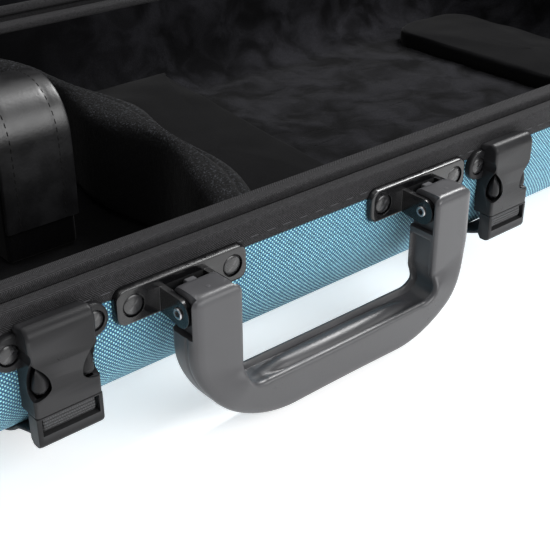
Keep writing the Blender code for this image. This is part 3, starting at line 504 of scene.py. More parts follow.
def makeMetal(name, colour, roughness, metallic, coat, brushed=False):
    finish, shader = newFinish(name, colour, roughness, Metallic=metallic, Coat_Weight=coat,
                               Coat_Roughness=0.08)
    spot = addNode(finish, "ShaderNodeTexCoord").outputs["Object"]
    stretch = (40, 900, 900) if brushed else (320, 320, 320)
    mapped = addNode(finish, "ShaderNodeMapping", {"Vector": spot, "Scale": stretch}).outputs[0]
    scratches = addNode(finish, "ShaderNodeTexNoise", {"Vector": mapped, "Scale": 1.0, "Detail": 3.0})
    marks = scratches.outputs["Fac"]
    finish.node_tree.links.new(remap(finish, marks, 0.3, 0.7, roughness * 0.75, roughness * 1.35),
                               shader.inputs["Roughness"])
    worn = addNode(finish, "ShaderNodeNewGeometry").outputs["Pointiness"]
    lighter = tuple(min(c * 2.2 + 0.02, 1) for c in colour)
    useColour(finish, shader, mixColour(finish, remap(finish, worn, 0.55, 0.68), colour, lighter))
    addBump(finish, shader, marks, 0.01 * mm, 0.3)
    return finish


def makeFinishes():
    return {
        "canvas": makeBlueCanvas(),
        "tape": makeHerringbone(),
        "velvet": makeVelvet("plainVelvet", (0.0016, 0.0016, 0.002), (0.003, 0.003, 0.0035), 30, 0.25,
                             0.2 * mm),
        "crushedBeyondShade": makeVelvet("crushedVelvet", (0.0012, 0.0012, 0.0016), (0.0135, 0.0135, 0.016), 46, 0.2,
                              0.8 * mm, 60 * mm),
        "plush": makePlush(),
        "leather": makeLeather(),
        "webbing": makeWebbing(),
        "grip": makeMoulded("greyGrip", (0.044, 0.044, 0.0475), 0.34, shine=0.42),
        "buckle": makeMoulded("blackBuckle", (0.012, 0.012, 0.013), 0.34, shine=0.14),
        "enamel": makeMetal("blackEnamel", (0.004, 0.004, 0.0045), 0.17, 0.0, 0.0),
        "blackSteel": makeMetal("blackSteel", (0.012, 0.012, 0.013), 0.30, 0.0, 0.2),
        "steel": makeMetal("satinSteel", (0.38, 0.38, 0.39), 0.34, 1.0, 0.0, True),
        "rubber": makeMoulded("footRubber", (0.012, 0.012, 0.013), 0.7, 0.12 * mm, 0.3),
        "knob": makeMoulded("blackKnob", (0.022, 0.022, 0.024), 0.35),
        "thread": makeMoulded("seamThread", (0.040, 0.040, 0.044), 0.8, shine=0.2),
        "darkThread": makeMoulded("darkThread", (0.001, 0.001, 0.001), 0.9, shine=0.05),
    }


finishes = makeFinishes()
print("finishes made:", len(finishes))


# Base: canvas shell, lining, tape and padded lip

def bowlSection(inset, top, steps=12):
    radius = case["fillet"] - inset
    return arcPoints((case["fillet"], case["fillet"]), radius, 270, 180, steps) + [(inset, top)]


def shellSection(depth):
    step = depth - 10.8 * mm
    low = bowlSection(0, step - 4 * mm) + [(0, step)]
    top = depth - 1 * mm
    inner = list(reversed(bowlSection(case["shellWall"], top)))
    return low + [(1 * mm, step), (1 * mm, top), (case["shellWall"], top)] + inner[1:]


def liningSection(depth):
    top = depth - 1 * mm
    radius = case["fillet"] - case["rimWidth"]
    turn = arcPoints((case["fillet"], case["floor"] + radius), radius, 180, 270, 12)
    wall = [(case["rimWidth"], top - (top - 40 * mm) * k / 5) for k in range(6)]
    flat = [(case["fillet"] + k * 7 * mm, case["floor"]) for k in range(1, 14)]
    return bowlSection(case["shellWall"] + gap, top) + wall + turn + flat


def tapeSection(depth, proud=0.5 * mm):
    low = depth - 10.5 * mm
    edge = arcPoints((-proud + 1.6 * mm, depth + 0.1 * mm - 1.6 * mm), 1.6 * mm, 180, 90, 5)
    return ([(0.0, low), (-0.6 * proud, low + 0.3 * mm), (-proud, low + 1.4 * mm),
             (-0.85 * proud, low + 3.1 * mm), (-proud, low + 5 * mm), (-proud, depth - 1.8 * mm)] + edge
            + [(3 * mm, depth + 0.1 * mm), (4.6 * mm, depth - 0.1 * mm), (5.2 * mm, depth - 0.7 * mm),
               (0.9 * mm, depth - 0.7 * mm), (0.7 * mm, depth - 1.2 * mm), (0.7 * mm, low + 0.5 * mm)])


def lipSection():
    low, high = case["baseDepth"] - 0.7 * mm, case["baseDepth"] + 3.3 * mm
    inner, outer = 5.95 * mm, case["rimWidth"] - gap
    return ([(inner, low), (inner, high - 1.7 * mm)]
            + arcPoints((inner + 1.7 * mm, high - 1.7 * mm), 1.7 * mm, 165, 95, 4)
            + [(9.8 * mm, high + 0.25 * mm)]
            + arcPoints((outer - 1.9 * mm, high - 1.9 * mm), 1.9 * mm, 85, 5, 4) + [(outer, low)])


def tapeStitches(name, depth, place=None):
    # One row of stitches along the band, level with its fold
    look = {"length": 4.2 * mm, "pitch": 7.9 * mm, "radius": 0.2 * mm, "height": 3.3 * mm}
    outline = [Vector((x, y, depth - 10.5 * mm + look["height"])) for x, y in caseOutline(-0.45 * mm)]
    if place:
        outline = [Vector((p.x, p.y, lidTop - p.z)) for p in outline]
    spots, travelled, due = [], 0.0, 0.0
    for a, b in zip(outline, outline[1:] + outline[:1]):
        length = (b - a).length
        while due < travelled + length:
            direction = (b - a).normalized()
            outward = Vector((direction.y, -direction.x, 0))
            spot = a + direction * (due - travelled)
            if place:
                spots.append((place @ spot, place.to_3x3() @ direction, place.to_3x3() @ outward))
            else:
                spots.append((spot, direction, outward))
            due += look["pitch"]
        travelled += length
    return stitchRow(name, spots, look["length"], look["radius"])


def isFlat(p):
    # The flat part of a lining, clear of its rounded edges
    return abs(p.x) < 345 * mm and abs(p.y) < 95 * mm


def makeBase():
    depth = case["baseDepth"]
    shell = skin("baseShell", caseRing(shellSection(depth)))
    finishPiece(shell, "canvas", "base", "fabric", "base_shell")
    lining = skin("baseLining", caseRing(liningSection(depth)))


    def onFloor(p):
        return isFlat(p) and case["floor"] - 0.4 * mm < p.z < case["floor"] + 3 * mm
    ruffle(lining, 16 * mm, 0.9 * mm, onFloor)
    finishPiece(lining, "crushedBeyondShade", "base", "velvet", "base_lining")
    tape = skin("baseTape", caseRing(tapeSection(depth)), closed=True)
    finishPiece(tape, "tape", "base", "tape", "base_zip_tape")
    lip = skin("baseLip", caseRing(lipSection()), closed=True)
    finishPiece(lip, "tape", "base", "tape", "base_lip")
    finishPiece(tapeStitches("baseTapeStitches", depth), "thread", "base", "tape")


footLook = {"height": 10 * mm, "radius": 10 * mm, "fromEnd": 75 * mm, "fromSide": 48 * mm, "bowl": 3 * mm}


def makeFeet():
    for endName, sx in (("left", -1), ("right", 1)):
        for sideName, sy in (("front", -1), ("back", 1)):
            x = sx * (case["length"] / 2 - footLook["fromEnd"])
            y = sy * (back - footLook["fromSide"])
            low, r, bowl = -footLook["height"], footLook["radius"], footLook["bowl"]
            profile = [(low + bowl, 0), (low + bowl, 3.6 * mm), (low + 0.4 * mm, 3.9 * mm), (low, 4.4 * mm),
                       (low, r - 1.6 * mm), (low + 0.5 * mm, r - 0.6 * mm), (low + 1.6 * mm, r),
                       (-2.4 * mm, r), (-1.8 * mm, r - 0.5 * mm), (-1.2 * mm, r), (-gap, r),
                       (-gap, 2.5 * mm), (3.5 * mm, 2.5 * mm), (3.5 * mm, 0)]
            foot = turned(f"foot{endName.title()}{sideName.title()}", profile, "Z", (x, y, 0))
            finishPiece(foot, "rubber", "base", "rubber", f"foot_{endName}_{sideName}")


# Lid: the same sections, turned open about the hinge

def makeLid():
    def lidSection(section):
        return [(inset, lidTop - height) for inset, height in section]
    shell = skin("lidShell", caseRing(lidSection(shellSection(case["lidDepth"])), openLid))
    finishPiece(shell, "canvas", "lid", "fabric", "lid_shell")
    liningDepth = case["lidDepth"] - 3.2 * mm
    lining = skin("lidLining", caseRing(lidSection(liningSection(liningDepth)), openLid))
    inside = openLid.inverted()

    def onCeiling(p):
        local = inside @ p
        return isFlat(local) and lidTop - 9.5 * mm < local.z < lidTop - 7.9 * mm
    ruffle(lining, 18 * mm, 1.2 * mm, onCeiling)
    finishPiece(lining, "crushedBeyondShade", "lid", "velvet", "lid_lining")
    tape = skin("lidTape", caseRing(lidSection(tapeSection(case["lidDepth"])), openLid), closed=True)
    finishPiece(tape, "tape", "lid", "tape", "lid_zip_tape")
    finishPiece(tapeStitches("lidTapeStitches", case["lidDepth"], openLid), "thread", "lid", "tape")


# Screws, rivets and pins

def dome(name, centre, radius, seat, height, finish, body, slotName, *nodes):
    # A low domed head facing the front; seat is the y of the plate it sits in
    x, z = centre
    rim = seat + 0.15 * mm
    profile = [(seat - height, 0), (seat - height * 0.97, 0.3 * radius), (seat - height * 0.82, 0.6 * radius),
               (seat - height * 0.52, 0.84 * radius), (seat - height * 0.2, 0.96 * radius), (rim, radius),
               (seat + 1.1 * mm, radius), (seat + 1.1 * mm, 0)]
    piece = turned(name, profile, "Y", (x, 0, z))
    return finishPiece(piece, finish, body, slotName, *nodes)


# Handle brackets: plate with two ears, recessed rivets and a hollow pin

bracketLook = {"spread": 59.2 * mm, "length": 56 * mm, "height": 14.5 * mm, "thickness": 2.7 * mm,
               "corner": 4.2 * mm, "edge": 1.7 * mm, "screwSpread": 21 * mm, "recess": 4.35 * mm,
               "recessDepth": 1.5 * mm, "earOuter": 10.6 * mm, "ear": 2.5 * mm, "earRadius": 5.5 * mm}
pinY, pinZ = front - 13.7 * mm, case["fixingHeight"] - 2.3 * mm


def makeBracket(side, word):
    look = bracketLook
    x, z = side * look["spread"], case["fixingHeight"]
    face = front - gap - look["thickness"]
    edge = look["edge"]
    levels = ((front - gap, 0), (front - look["thickness"] + edge, 0), (face + 0.2 * edge, 0.35 * edge),
              (face + 0.07 * edge, 0.6 * edge), (face, edge))
    loops = []
    for y, shrink in levels:
        outline = roundRectangle(look["length"] / 2 - shrink, look["height"] / 2 - shrink,
                                 look["corner"] - shrink, 6)
        loops.append([Vector((x + px, y, z + pz)) for px, pz in outline])
    plate = skin(f"handleBracket{word}", loops)
    ears = []
    for hand in (-1, 1):
        low, high = sorted((x + hand * look["earOuter"], x + hand * (look["earOuter"] - look["ear"])))
        nose = arcPoints((pinY, pinZ), look["earRadius"], 90, 270, 20)
        root = front - 1.5 * mm  # inside the plate
        outline = ([(root, pinZ + look["earRadius"])] + nose
                   + [(root, pinZ - look["earRadius"] + 1.6 * mm)])
        ears.append(prism("ear", outline, "X", low, high))
    cutOrJoin(plate, "UNION", *ears)
    recess = [(face - 3 * mm, look["recess"]), (face + look["recessDepth"], look["recess"])]
    holes = [turned("hole", recess, "Y", (x + hand * look["screwSpread"], 0, z)) for hand in (-1, 1)]
    bore = turned("bore", [(x - 13 * mm, 2.25 * mm), (x + 13 * mm, 2.25 * mm)], "X", (0, pinY, pinZ))
    cutOrJoin(plate, "DIFFERENCE", bore, *holes)
    softenEdges(plate, 0.4 * mm, 2, 40)
    finishPiece(plate, "enamel", "base", "bracket_metal", f"handle_bracket_{word.lower()}")
    for end, hand in (("Left", -1), ("Right", 1)):
        dome(f"bracketScrew{word}{end}", (x + hand * look["screwSpread"], z), 3.95 * mm, face + 0.75 * mm,
             0.85 * mm, "blackSteel", "base", "black_metal", f"bracket_screw_{word.lower()}_{end.lower()}")
    reach = look["earOuter"] + 0.75 * mm
    flare = ((0, 1.25), (-0.05, 1.5), (0, 1.95), (0.35, 2.2), (0.7, 2.0))
    tube = [(-reach + inward * mm, radius) for inward, radius in flare]
    tube += [(-along, radius) for along, radius in reversed(tube)]
    turns = [math.tau * k / 24 for k in range(24)]
    loops = [[Vector((x + along, pinY + radius * mm * math.cos(t), pinZ + radius * mm * math.sin(t)))
              for t in turns] for along, radius in tube]
    pin = skin(f"handlePin{word}", loops, closed=True)
    finishPiece(pin, "steel", "base", "black_metal", f"handle_pin_{word.lower()}")


# Handle: one moulded bail with ear pockets, recessed flanks and a padded groove in the grip

handleLook = {"width": 21.2 * mm, "depth": 14.8 * mm, "outerEdge": 3.8 * mm, "innerEdge": 1.7 * mm,
              "top": 7.8 * mm, "drop": 51.8 * mm, "gripHeight": 19.0 * mm, "outerBend": (43 * mm, 38 * mm),
              "innerBend": 8 * mm, "lean": 3.2 * mm, "fromCase": 7.4 * mm, "ledge": 8.2 * mm,
              "panelDepth": 2.3 * mm, "grooveDepth": 2.6 * mm, "padCrown": 2.4 * mm, "gripTilt": 2.4 * mm,
              "endRound": 3.4 * mm}


def handlePath():
    # Outer and inner points with an end rounding, from the right leg's top to the left leg's
    look = handleLook
    outerX = bracketLook["spread"] + look["width"] / 2
    innerX = bracketLook["spread"] - look["width"] / 2
    low, top = pinZ - look["drop"], pinZ + look["top"]
    across, up = look["outerBend"]
    ends = ((0, look["endRound"]), (0.12 * mm, 2.5 * mm), (0.46 * mm, 1.7 * mm), (1.0 * mm, 1.0 * mm),
            (1.7 * mm, 0.46 * mm), (2.5 * mm, 0.12 * mm), (look["endRound"], 0))
    path = [((outerX, top - down), (innerX, top - down), shrink) for down, shrink in ends]
    first, outerLast, innerLast = top - look["endRound"], low + up, low + look["gripHeight"] + look["innerBend"]
    for k in range(1, 40):
        path.append(((outerX, first + (outerLast - first) * k / 40),
                     (innerX, first + (innerLast - first) * k / 40), 0))
    quarter = arcPoints((0, 0), 1, 0, -90, 36)
    outerBend = [(outerX - across + across * c, low + up + up * s) for c, s in quarter]
    innerBend = arcPoints((innerX - look["innerBend"], innerLast), look["innerBend"], 0, -90, 36)
    bend = list(zip(outerBend, innerBend))
    path += [(o, i, 0) for o, i in bend]
    half = [(Vector(o), Vector(i), s) for o, i, s in path]
    lastOuter, lastInner = half[-1][0], half[-1][1]
    mirrored = [(Vector((-o.x, o.y)), Vector((-i.x, i.y)), s) for o, i, s in reversed(half)]
    otherOuter, otherInner = mirrored[0][0], mirrored[0][1]
    middle = [(lastOuter.lerp(otherOuter, k / 60), lastInner.lerp(otherInner, k / 60), 0) for k in range(1, 60)]
    return half + middle + mirrored


def roundCorner(s, d, half, halfDepth, radius):
    # Draws a point of a square outline in to a rounder corner
    overS, overD = abs(s) - (half - radius), abs(d) - (halfDepth - radius)
    if overS <= 0 or overD <= 0:
        return s, d
    draw = min(radius / math.hypot(overS, overD), 1)
    return (math.copysign(half - radius + overS * draw, s),
            math.copysign(halfDepth - radius + overD * draw, d))


def handleLoop(outer, inner, shrink):
    look = handleLook
    lean = look["lean"] * smoothStep((pinZ - outer.y) / look["drop"], 0.35, 0.8)
    middle = front - look["fromCase"] - look["depth"] / 2 - lean
    across = (outer - inner).normalized()
    centre = (outer + inner) / 2
    half = (outer - inner).length / 2 - shrink
    halfDepth = look["depth"] / 2 - shrink
    points = roundRectangle(half, halfDepth, look["innerEdge"], 5, (0, 0), (12, 22))
    points = [roundCorner(s, d, half, halfDepth, look["outerEdge"]) if s > 0 else (s, d) for s, d in points]
    rise = inner.y - (pinZ - look["drop"]) - look["gripHeight"]
    onLeg = smoothStep(rise, 0.2 * mm, look["innerBend"])  # 1 on the legs, 0 on the grip
    onPanel = smoothStep(rise, 1 * mm, look["innerBend"] - 1 * mm)
    belowLedge = smoothStep(pinZ - look["ledge"] - 2.5 * mm - inner.y, 0, 1.6 * mm)
    loop = []
    for s, d in points:
        inward = 0.0
        depth = d + 0.5 * mm  # the panel lies a little behind the middle, so the front border is wider
        if abs(s) > half - 0.2 * mm:
            panel = smoothStep(5.2 * mm - abs(depth - 1.2 * mm), 0, 0.45 * mm)
            if s < 0:
                inward += look["panelDepth"] * panel * onPanel * belowLedge
                alongGrip = 1 - abs(inner.x) / (44 * mm)
                groove = smoothStep(5.3 * mm - abs(d - 0.2 * mm), 0, 0.7 * mm)
                inward += look["grooveDepth"] * groove * (1 - onPanel)
                if alongGrip > 0:
                    halfPad = 4.5 * mm * math.sqrt(1 - (1 - alongGrip) ** 2)
                    share = (d - 0.4 * mm) / max(halfPad, 1e-6)
                    if abs(share) < 1:
                        swell = (1 - share * share) ** 0.8 * smoothStep(alongGrip, 0, 0.4)
                        inward -= look["padCrown"] * swell
            else:
                inward += 0.4 * mm * math.exp(-((d + 2.4 * mm) / (0.45 * mm)) ** 2) * belowLedge
        if s < 0:
            inward += look["gripTilt"] * (0.5 - d / look["depth"]) * smoothStep(-s, 0, half) * (1 - onLeg)
        sign = -1 if s > 0 else 1
        spot = centre + across * (s + sign * inward)
        loop.append(Vector((spot.x, middle + d, spot.y)))
    return loop


def makeHandle():
    look = handleLook
    handle = skin("handleGrip", [handleLoop(*station) for station in handlePath()])
    pocket = pinY - bracketLook["earRadius"] - 1.1 * mm
    tongue = bracketLook["earOuter"] - bracketLook["ear"] - gap
    tools = []
    for side in (-1, 1):
        x = side * bracketLook["spread"]
        for hand in (-1, 1):
            low, high = sorted((x + hand * tongue, x + hand * (look["width"] / 2 + 2 * mm)))
            tools.append(block("pocket", (low, pocket, pinZ - look["ledge"]), (high, front, pinZ + 12 * mm)))
        tools.append(turned("bore", [(x - 20 * mm, 2.3 * mm), (x + 20 * mm, 2.3 * mm)], "X", (0, pinY, pinZ)))
    cutOrJoin(handle, "DIFFERENCE", *tools)
    softenEdges(handle, 0.45 * mm, 2, 48)
    finishPiece(handle, "grip", "handle", "handle_plastic", "handle")
    for side, word in ((-1, "Left"), (1, "Right")):
        x = side * bracketLook["spread"]
        stop = block(f"handleStop{word}", (x - 2.2 * mm, pinY + 4.6 * mm, pinZ + 3.2 * mm),
                     (x + 2.2 * mm, pinY + 8.6 * mm, pinZ + 6.4 * mm))
        softenEdges(stop, 0.6 * mm, 3, 30)
        finishPiece(stop, "grip", "handle", "handle_plastic")
        top = pinZ + look["top"]
        nub = [(top - 0.3 * mm, 0.9 * mm), (top + 0.12 * mm, 0.8 * mm), (top + 0.2 * mm, 0)]
        mark = turned(f"mouldMark{word}", nub, "Z", (x, pinY - 2.6 * mm, 0), 14)
        finishPiece(mark, "grip", "handle", "handle_plastic")


# Buckles: fixed socket with windows, sliding plug, two sprung buttons and webbing

buckleLook = {"spread": 111 * mm, "wingLength": 42 * mm, "wingHeight": 13 * mm, "wing": 2.7 * mm,
              "rivetSpread": 15.5 * mm, "width": 24.6 * mm, "depth": 9.7 * mm, "rise": 10 * mm,
              "drop": 22.5 * mm, "wall": 1.8 * mm, "headRadius": 4.2 * mm, "windowRadius": 3.5 * mm,
              "windowRise": 10.6 * mm, "windowDrop": 12.6 * mm, "windowTurn": math.radians(58),
              "bar": 5.0 * mm, "bottom": 35 * mm, "slot": 10.7 * mm, "edge": 1.4 * mm}


def teardrop(radius, rise, steps=16):
    # Round below, drawn up to a blunt point above, as (across, up)
    points = arcPoints((0, 0), radius, 170, 370, steps)
    side = []
    shoulder = radius * 0.17
    for k in range(1, 9):
        t = k / 9
        side.append((radius * 0.985 * math.cos(t * math.pi / 2) ** 0.9, shoulder + (rise - shoulder) * t))
    return points + side + [(0, rise)] + [(-a, b) for a, b in reversed(side)]


def windowLoop(x, side, radius, rise, shift, offset=0.0):
    # The window looks out over the socket's front corner; shift moves along that sight line, offset across it
    look = buckleLook
    out = Vector((side * math.sin(look["windowTurn"]), -math.cos(look["windowTurn"]), 0))
    across = Vector((side * math.cos(look["windowTurn"]), math.sin(look["windowTurn"]), 0))
    corner = Vector((x + side * look["width"] / 2, front - look["depth"],
                     case["fixingHeight"] - look["windowDrop"]))
    middle = corner + out * shift
    return [middle + across * (a + offset) + Vector((0, 0, b)) for a, b in teardrop(radius, rise)]


def endToEnd(half, ends):
    # The same steps (inward in mm, value) at both ends of a width, from the left end to the right one
    left = [(-half + inward * mm, value) for inward, value in ends]
    return left + [(-place, value) for place, value in reversed(left)]


def makeSocket(x, word):
    look = buckleLook
    z = case["fixingHeight"]
    plateFront, face = front - gap - look["wing"], front - look["depth"]
    half = look["width"] / 2
    levels = ((front - gap, 0), (plateFront + 0.9 * mm, 0), (plateFront + 0.3 * mm, 0.25 * mm),
              (plateFront, 0.9 * mm))
    wing = []
    for y, shrink in levels:
        outline = roundRectangle(look["wingLength"] / 2 - shrink, look["wingHeight"] / 2 - shrink,
                                 look["wingHeight"] / 2 - 0.2 * mm - shrink, 8)
        wing.append([Vector((x + a, y, z + b)) for a, b in outline])
    socket = skin(f"buckleSocket{word}", wing)
    top, mouth, r = z + look["rise"], z - look["drop"], look["headRadius"]

    def sideView(inset):
        return ([(front - gap, mouth), (face + inset, mouth)]
                + [(face + inset, mouth + (top - r - mouth) * k / 6) for k in range(1, 6)]
                + arcPoints((face + r, top - r), r - inset, 180, 90, 10)
                + [(front - gap, top - 1.6 * mm - inset)])
    body = []
    for place, inset in endToEnd(half, ((0, 1.2), (0.15, 0.7), (0.6, 0.25), (look["edge"] / mm, 0))):
        body.append([Vector((x + place, a, b)) for a, b in sideView(inset * mm)])
    cutOrJoin(socket, "UNION", skin("body", body))
    inner = half - look["wall"]
    tools = [block("cavity", (x - inner, face + look["wall"], mouth - mm),
                   (x + inner, plateFront, z + 3 * mm))]
    recess = [(face - 2 * mm, 3.95 * mm), (plateFront + 1.5 * mm, 3.95 * mm)]
    for side in (-1, 1):
        tools.append(skin("window", [windowLoop(x, side, look["windowRadius"], look["windowRise"], shift)
                                     for shift in (-7.4 * mm, 8 * mm)]))
        tools.append(turned("hole", recess, "Y", (x + side * look["rivetSpread"], 0, z)))
    cutOrJoin(socket, "DIFFERENCE", *tools)
    softenEdges(socket, 0.35 * mm, 2, 48)
    finishPiece(socket, "buckle", "base", "buckle_plastic", f"buckle_socket_{word.lower()}")
    for end, side in (("Left", -1), ("Right", 1)):
        dome(f"buckleRivet{word}{end}", (x + side * look["rivetSpread"], z), 3.65 * mm,
             plateFront + 0.7 * mm, 0.95 * mm, "blackSteel", "base", "black_metal",
             f"buckle_rivet_{word.lower()}_{end.lower()}")


def makePlug(x, word):
    look = buckleLook
    z = case["fixingHeight"]
    top, bottom = z - look["drop"] - gap, z - look["bottom"]
    face, rear, half = front - look["depth"], front - 3.4 * mm, look["width"] / 2
    r = 2.2 * mm
    outline = ([(rear, top), (face, top), (face, top - 2 * mm), (face, bottom + 5 * mm)]
               + arcPoints((face + r, bottom + r), r, 180, 270, 8)
               + [(rear - 1.5 * mm, bottom), (rear, bottom + 2 * mm)])
    middle = Vector(((face + rear) / 2, (top + bottom) / 2))
    loops = []
    for place, share in endToEnd(half, ((0, 0.86), (0.2, 0.93), (0.7, 0.98), (look["edge"] / mm, 1))):
        ring = []
        for a, b in outline:
            across = middle.x + (a - middle.x) * share
            up = b if b > top - 0.1 * mm else middle.y + (b - middle.y) * (0.55 + 0.45 * share)
            ring.append(Vector((x + place, across, up)))
        loops.append(ring)
    plug = skin(f"bucklePlug{word}", loops)
    left, right = x - look["slot"], x + look["slot"]
    tools = [block("slot", (left, face - mm, bottom + look["bar"]), (right, rear + mm, top - 0.5 * mm)),
             block("relief", (left, rear - 2 * mm, bottom - mm), (right, rear + mm, top - 2 * mm))]
    cutOrJoin(plug, "DIFFERENCE", *tools)
    tongue = block("tongue", (x - 2.4 * mm, face + 3.2 * mm, top - mm),
                   (x + 2.4 * mm, rear - 0.8 * mm, z - 4 * mm))
    cutOrJoin(plug, "UNION", tongue)
    softenEdges(plug, 0.45 * mm, 3, 40)
    nodeEnd = word.lower()
    finishPiece(plug, "buckle", f"plug_{nodeEnd}", "buckle_plastic", f"buckle_plug_{nodeEnd}")
    for end, side in (("Left", -1), ("Right", 1)):
        makeButton(x, side, word, end)


def makeButton(x, side, word, end):
    # Sprung prong whose rounded button fills the window
    look = buckleLook
    crown = ((-7.2, 0.68), (-5.2, 0.73), (-4.0, 0.71), (-3.1, 0.60), (-2.6, 0.46), (-2.3, 0.28), (-2.2, 0.08))
    loops = []
    for shift, share in crown:
        radius, rise = look["windowRadius"] * share, look["windowRise"] * share * 0.98
        loops.append(windowLoop(x, side, radius, rise, shift * mm, 0.45 * mm))
    button = skin(f"buckleButton{word}{end}", loops)
    root = case["fixingHeight"] - look["drop"] + 0.4 * mm
    low, high = sorted((x + side * 6 * mm, x + side * 7.8 * mm))
    arm = block("arm", (low, front - 7.2 * mm, root), (high, front - 4 * mm, root + 9 * mm))
    cutOrJoin(button, "UNION", arm)
    finishPiece(button, "buckle", f"prong_{word.lower()}_{end.lower()}", "buckle_plastic",
                f"buckle_prong_{word.lower()}_{end.lower()}")


def strapLoops(route, x, width, thickness, groove=0.0, grooveAt=0.0):
    # A flat strap with rounded edges along a route of (y, z) points
    loops = []
    for i, (y, z) in enumerate(route):
        before, after = Vector(route[max(i - 1, 0)]), Vector(route[min(i + 1, len(route) - 1)])
        along = (after - before).normalized()
        out = Vector((-along.y, along.x))
        ring = []
        for a, b in roundRectangle(width / 2, thickness / 2, thickness * 0.42, 3, (0, 0), (26, 1)):
            if groove and b > 0:
                b -= groove * math.exp(-((abs(a) - grooveAt) / (0.5 * mm)) ** 2)
            ring.append(Vector((x + a, y + out.x * b, z + out.y * b)))
        loops.append(ring)
    return loops


def smoothRoute(points, rounds=2):
    for _ in range(rounds):
        cut = [points[0]]
        for a, b in zip(points, points[1:]):
            cut += [(a[0] * 0.75 + b[0] * 0.25, a[1] * 0.75 + b[1] * 0.25),
                    (a[0] * 0.25 + b[0] * 0.75, a[1] * 0.25 + b[1] * 0.75)]
        points = cut + [points[-1]]
    return points


def makeWebbingStrap(x, word):
    look = webbingLook
    slotTop = case["fixingHeight"] - buckleLook["drop"] - 1.9 * mm
    barBack = front - 3.4 * mm
    lift = gap + look["thickness"] / 2
    wrap = arcPoints((front + case["fillet"], case["fillet"]), case["fillet"] + lift, 222, 270, 10)
    fall = [(barBack - 2.4 * mm, slotTop + 1.2 * mm), (barBack - 4.1 * mm, slotTop + 0.2 * mm),
            (barBack - 4.6 * mm, slotTop - 2.0 * mm), (barBack - 4.3 * mm, slotTop - 4.6 * mm),
            (barBack - 1.0 * mm, slotTop - 6.4 * mm), (barBack + 0.9 * mm, slotTop - 9.4 * mm)]
    route = smoothRoute(fall + wrap[1:] + [(front + 70 * mm, -lift), (front + look["sewnAt"], -lift)])
    strap = skin(f"webbing{word}", strapLoops(route, x, look["width"], look["thickness"]))
    dress(strap, "webbing", "webbing", f"webbing_{word.lower()}")
    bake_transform(strap)


# Inside the base

def bowlFloor(y):
    # Height of the lining's inner face at a distance from the middle
    corner = case["fillet"] - case["rimWidth"] + mm
    flat = case["width"] / 2 - case["rimWidth"] - mm - corner
    over = min(max(abs(y) - flat, 0), corner)
    return case["floor"] + gap + corner - math.sqrt(corner * corner - over * over)


strapLook = {"x": -50.5 * mm, "width": 35 * mm, "thickness": 2.4 * mm, "top": 83 * mm, "frontDrop": 59 * mm,
             "backDrop": 42 * mm, "bend": 22 * mm, "halfSpan": 24.7 * mm, "seam": 11 * mm}


def makeNeckRest():
    look = strapLook
    toMiddle = look["thickness"] / 2
    half, r, top = look["halfSpan"] - toMiddle, look["bend"] - toMiddle, look["top"] - toMiddle
    backFoot, frontFoot = look["top"] - look["backDrop"], look["top"] - look["frontDrop"]
    route = [(half, backFoot + (top - r - backFoot) * k / 8) for k in range(8)]
    route += arcPoints((half - r, top - r), r, 0, 90, 22)
    route += arcPoints((-half + r, top - r), r, 90, 180, 22)[1:]
    for k in range(1, 21):
        bulge = 0.5 * mm * math.sin(math.pi * k / 20)
        route.append((-half - bulge, top - r + (frontFoot - top + r) * k / 20))
    route = list(reversed(route))
    loops = strapLoops(route, look["x"], look["width"], look["thickness"], 0.45 * mm, look["seam"])
    strap = skin("neckStrap", loops)
    dress(strap, "leather", "leather", "neck_strap")
    spots, travelled, due = [], 0.0, 3 * mm
    outerRoute = [Vector((0, *p)) for p in route]
    for a, b in zip(outerRoute, outerRoute[1:]):
        length = (b - a).length
        direction = (b - a).normalized()
        outward = Vector((0, -direction.z, direction.y))
        while due < travelled + length:
            spot = a + direction * (due - travelled) + outward * (look["thickness"] / 2 - 0.2 * mm)
            for hand in (-1, 1):
                spots.append((spot + Vector((look["x"] + hand * look["seam"], 0, 0)), direction, outward))
            due += 3.4 * mm
        travelled += length
    seam = stitchRow("neckStrapSeams", spots, 2.3 * mm, 0.28 * mm)
    dress(seam, "darkThread", "leather")
    for piece in (strap, seam):
        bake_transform(piece)
    notch, floorZ, cradleTop = 14 * mm, case["floor"] + gap, 60 * mm
    side = 22 * mm
    outline = ([(-side, floorZ), (side, floorZ), (side, cradleTop), (notch, cradleTop)]
               + arcPoints((0, cradleTop - side + notch), notch, 0, -180, 20)
               + [(-notch, cradleTop), (-side, cradleTop)])
    cradle = prism("neckCradle", outline, "X", look["x"] - 17 * mm, look["x"] + 17 * mm)
    softenEdges(cradle, 2.2 * mm, 4, 50)
    finishPiece(cradle, "velvet", "base", "velvet", "neck_cradle")


shoulderLook = {"top": 58 * mm, "crown": 9 * mm, "end": 9 * mm, "seamAt": 0.28, "pile": 0.22 * mm}


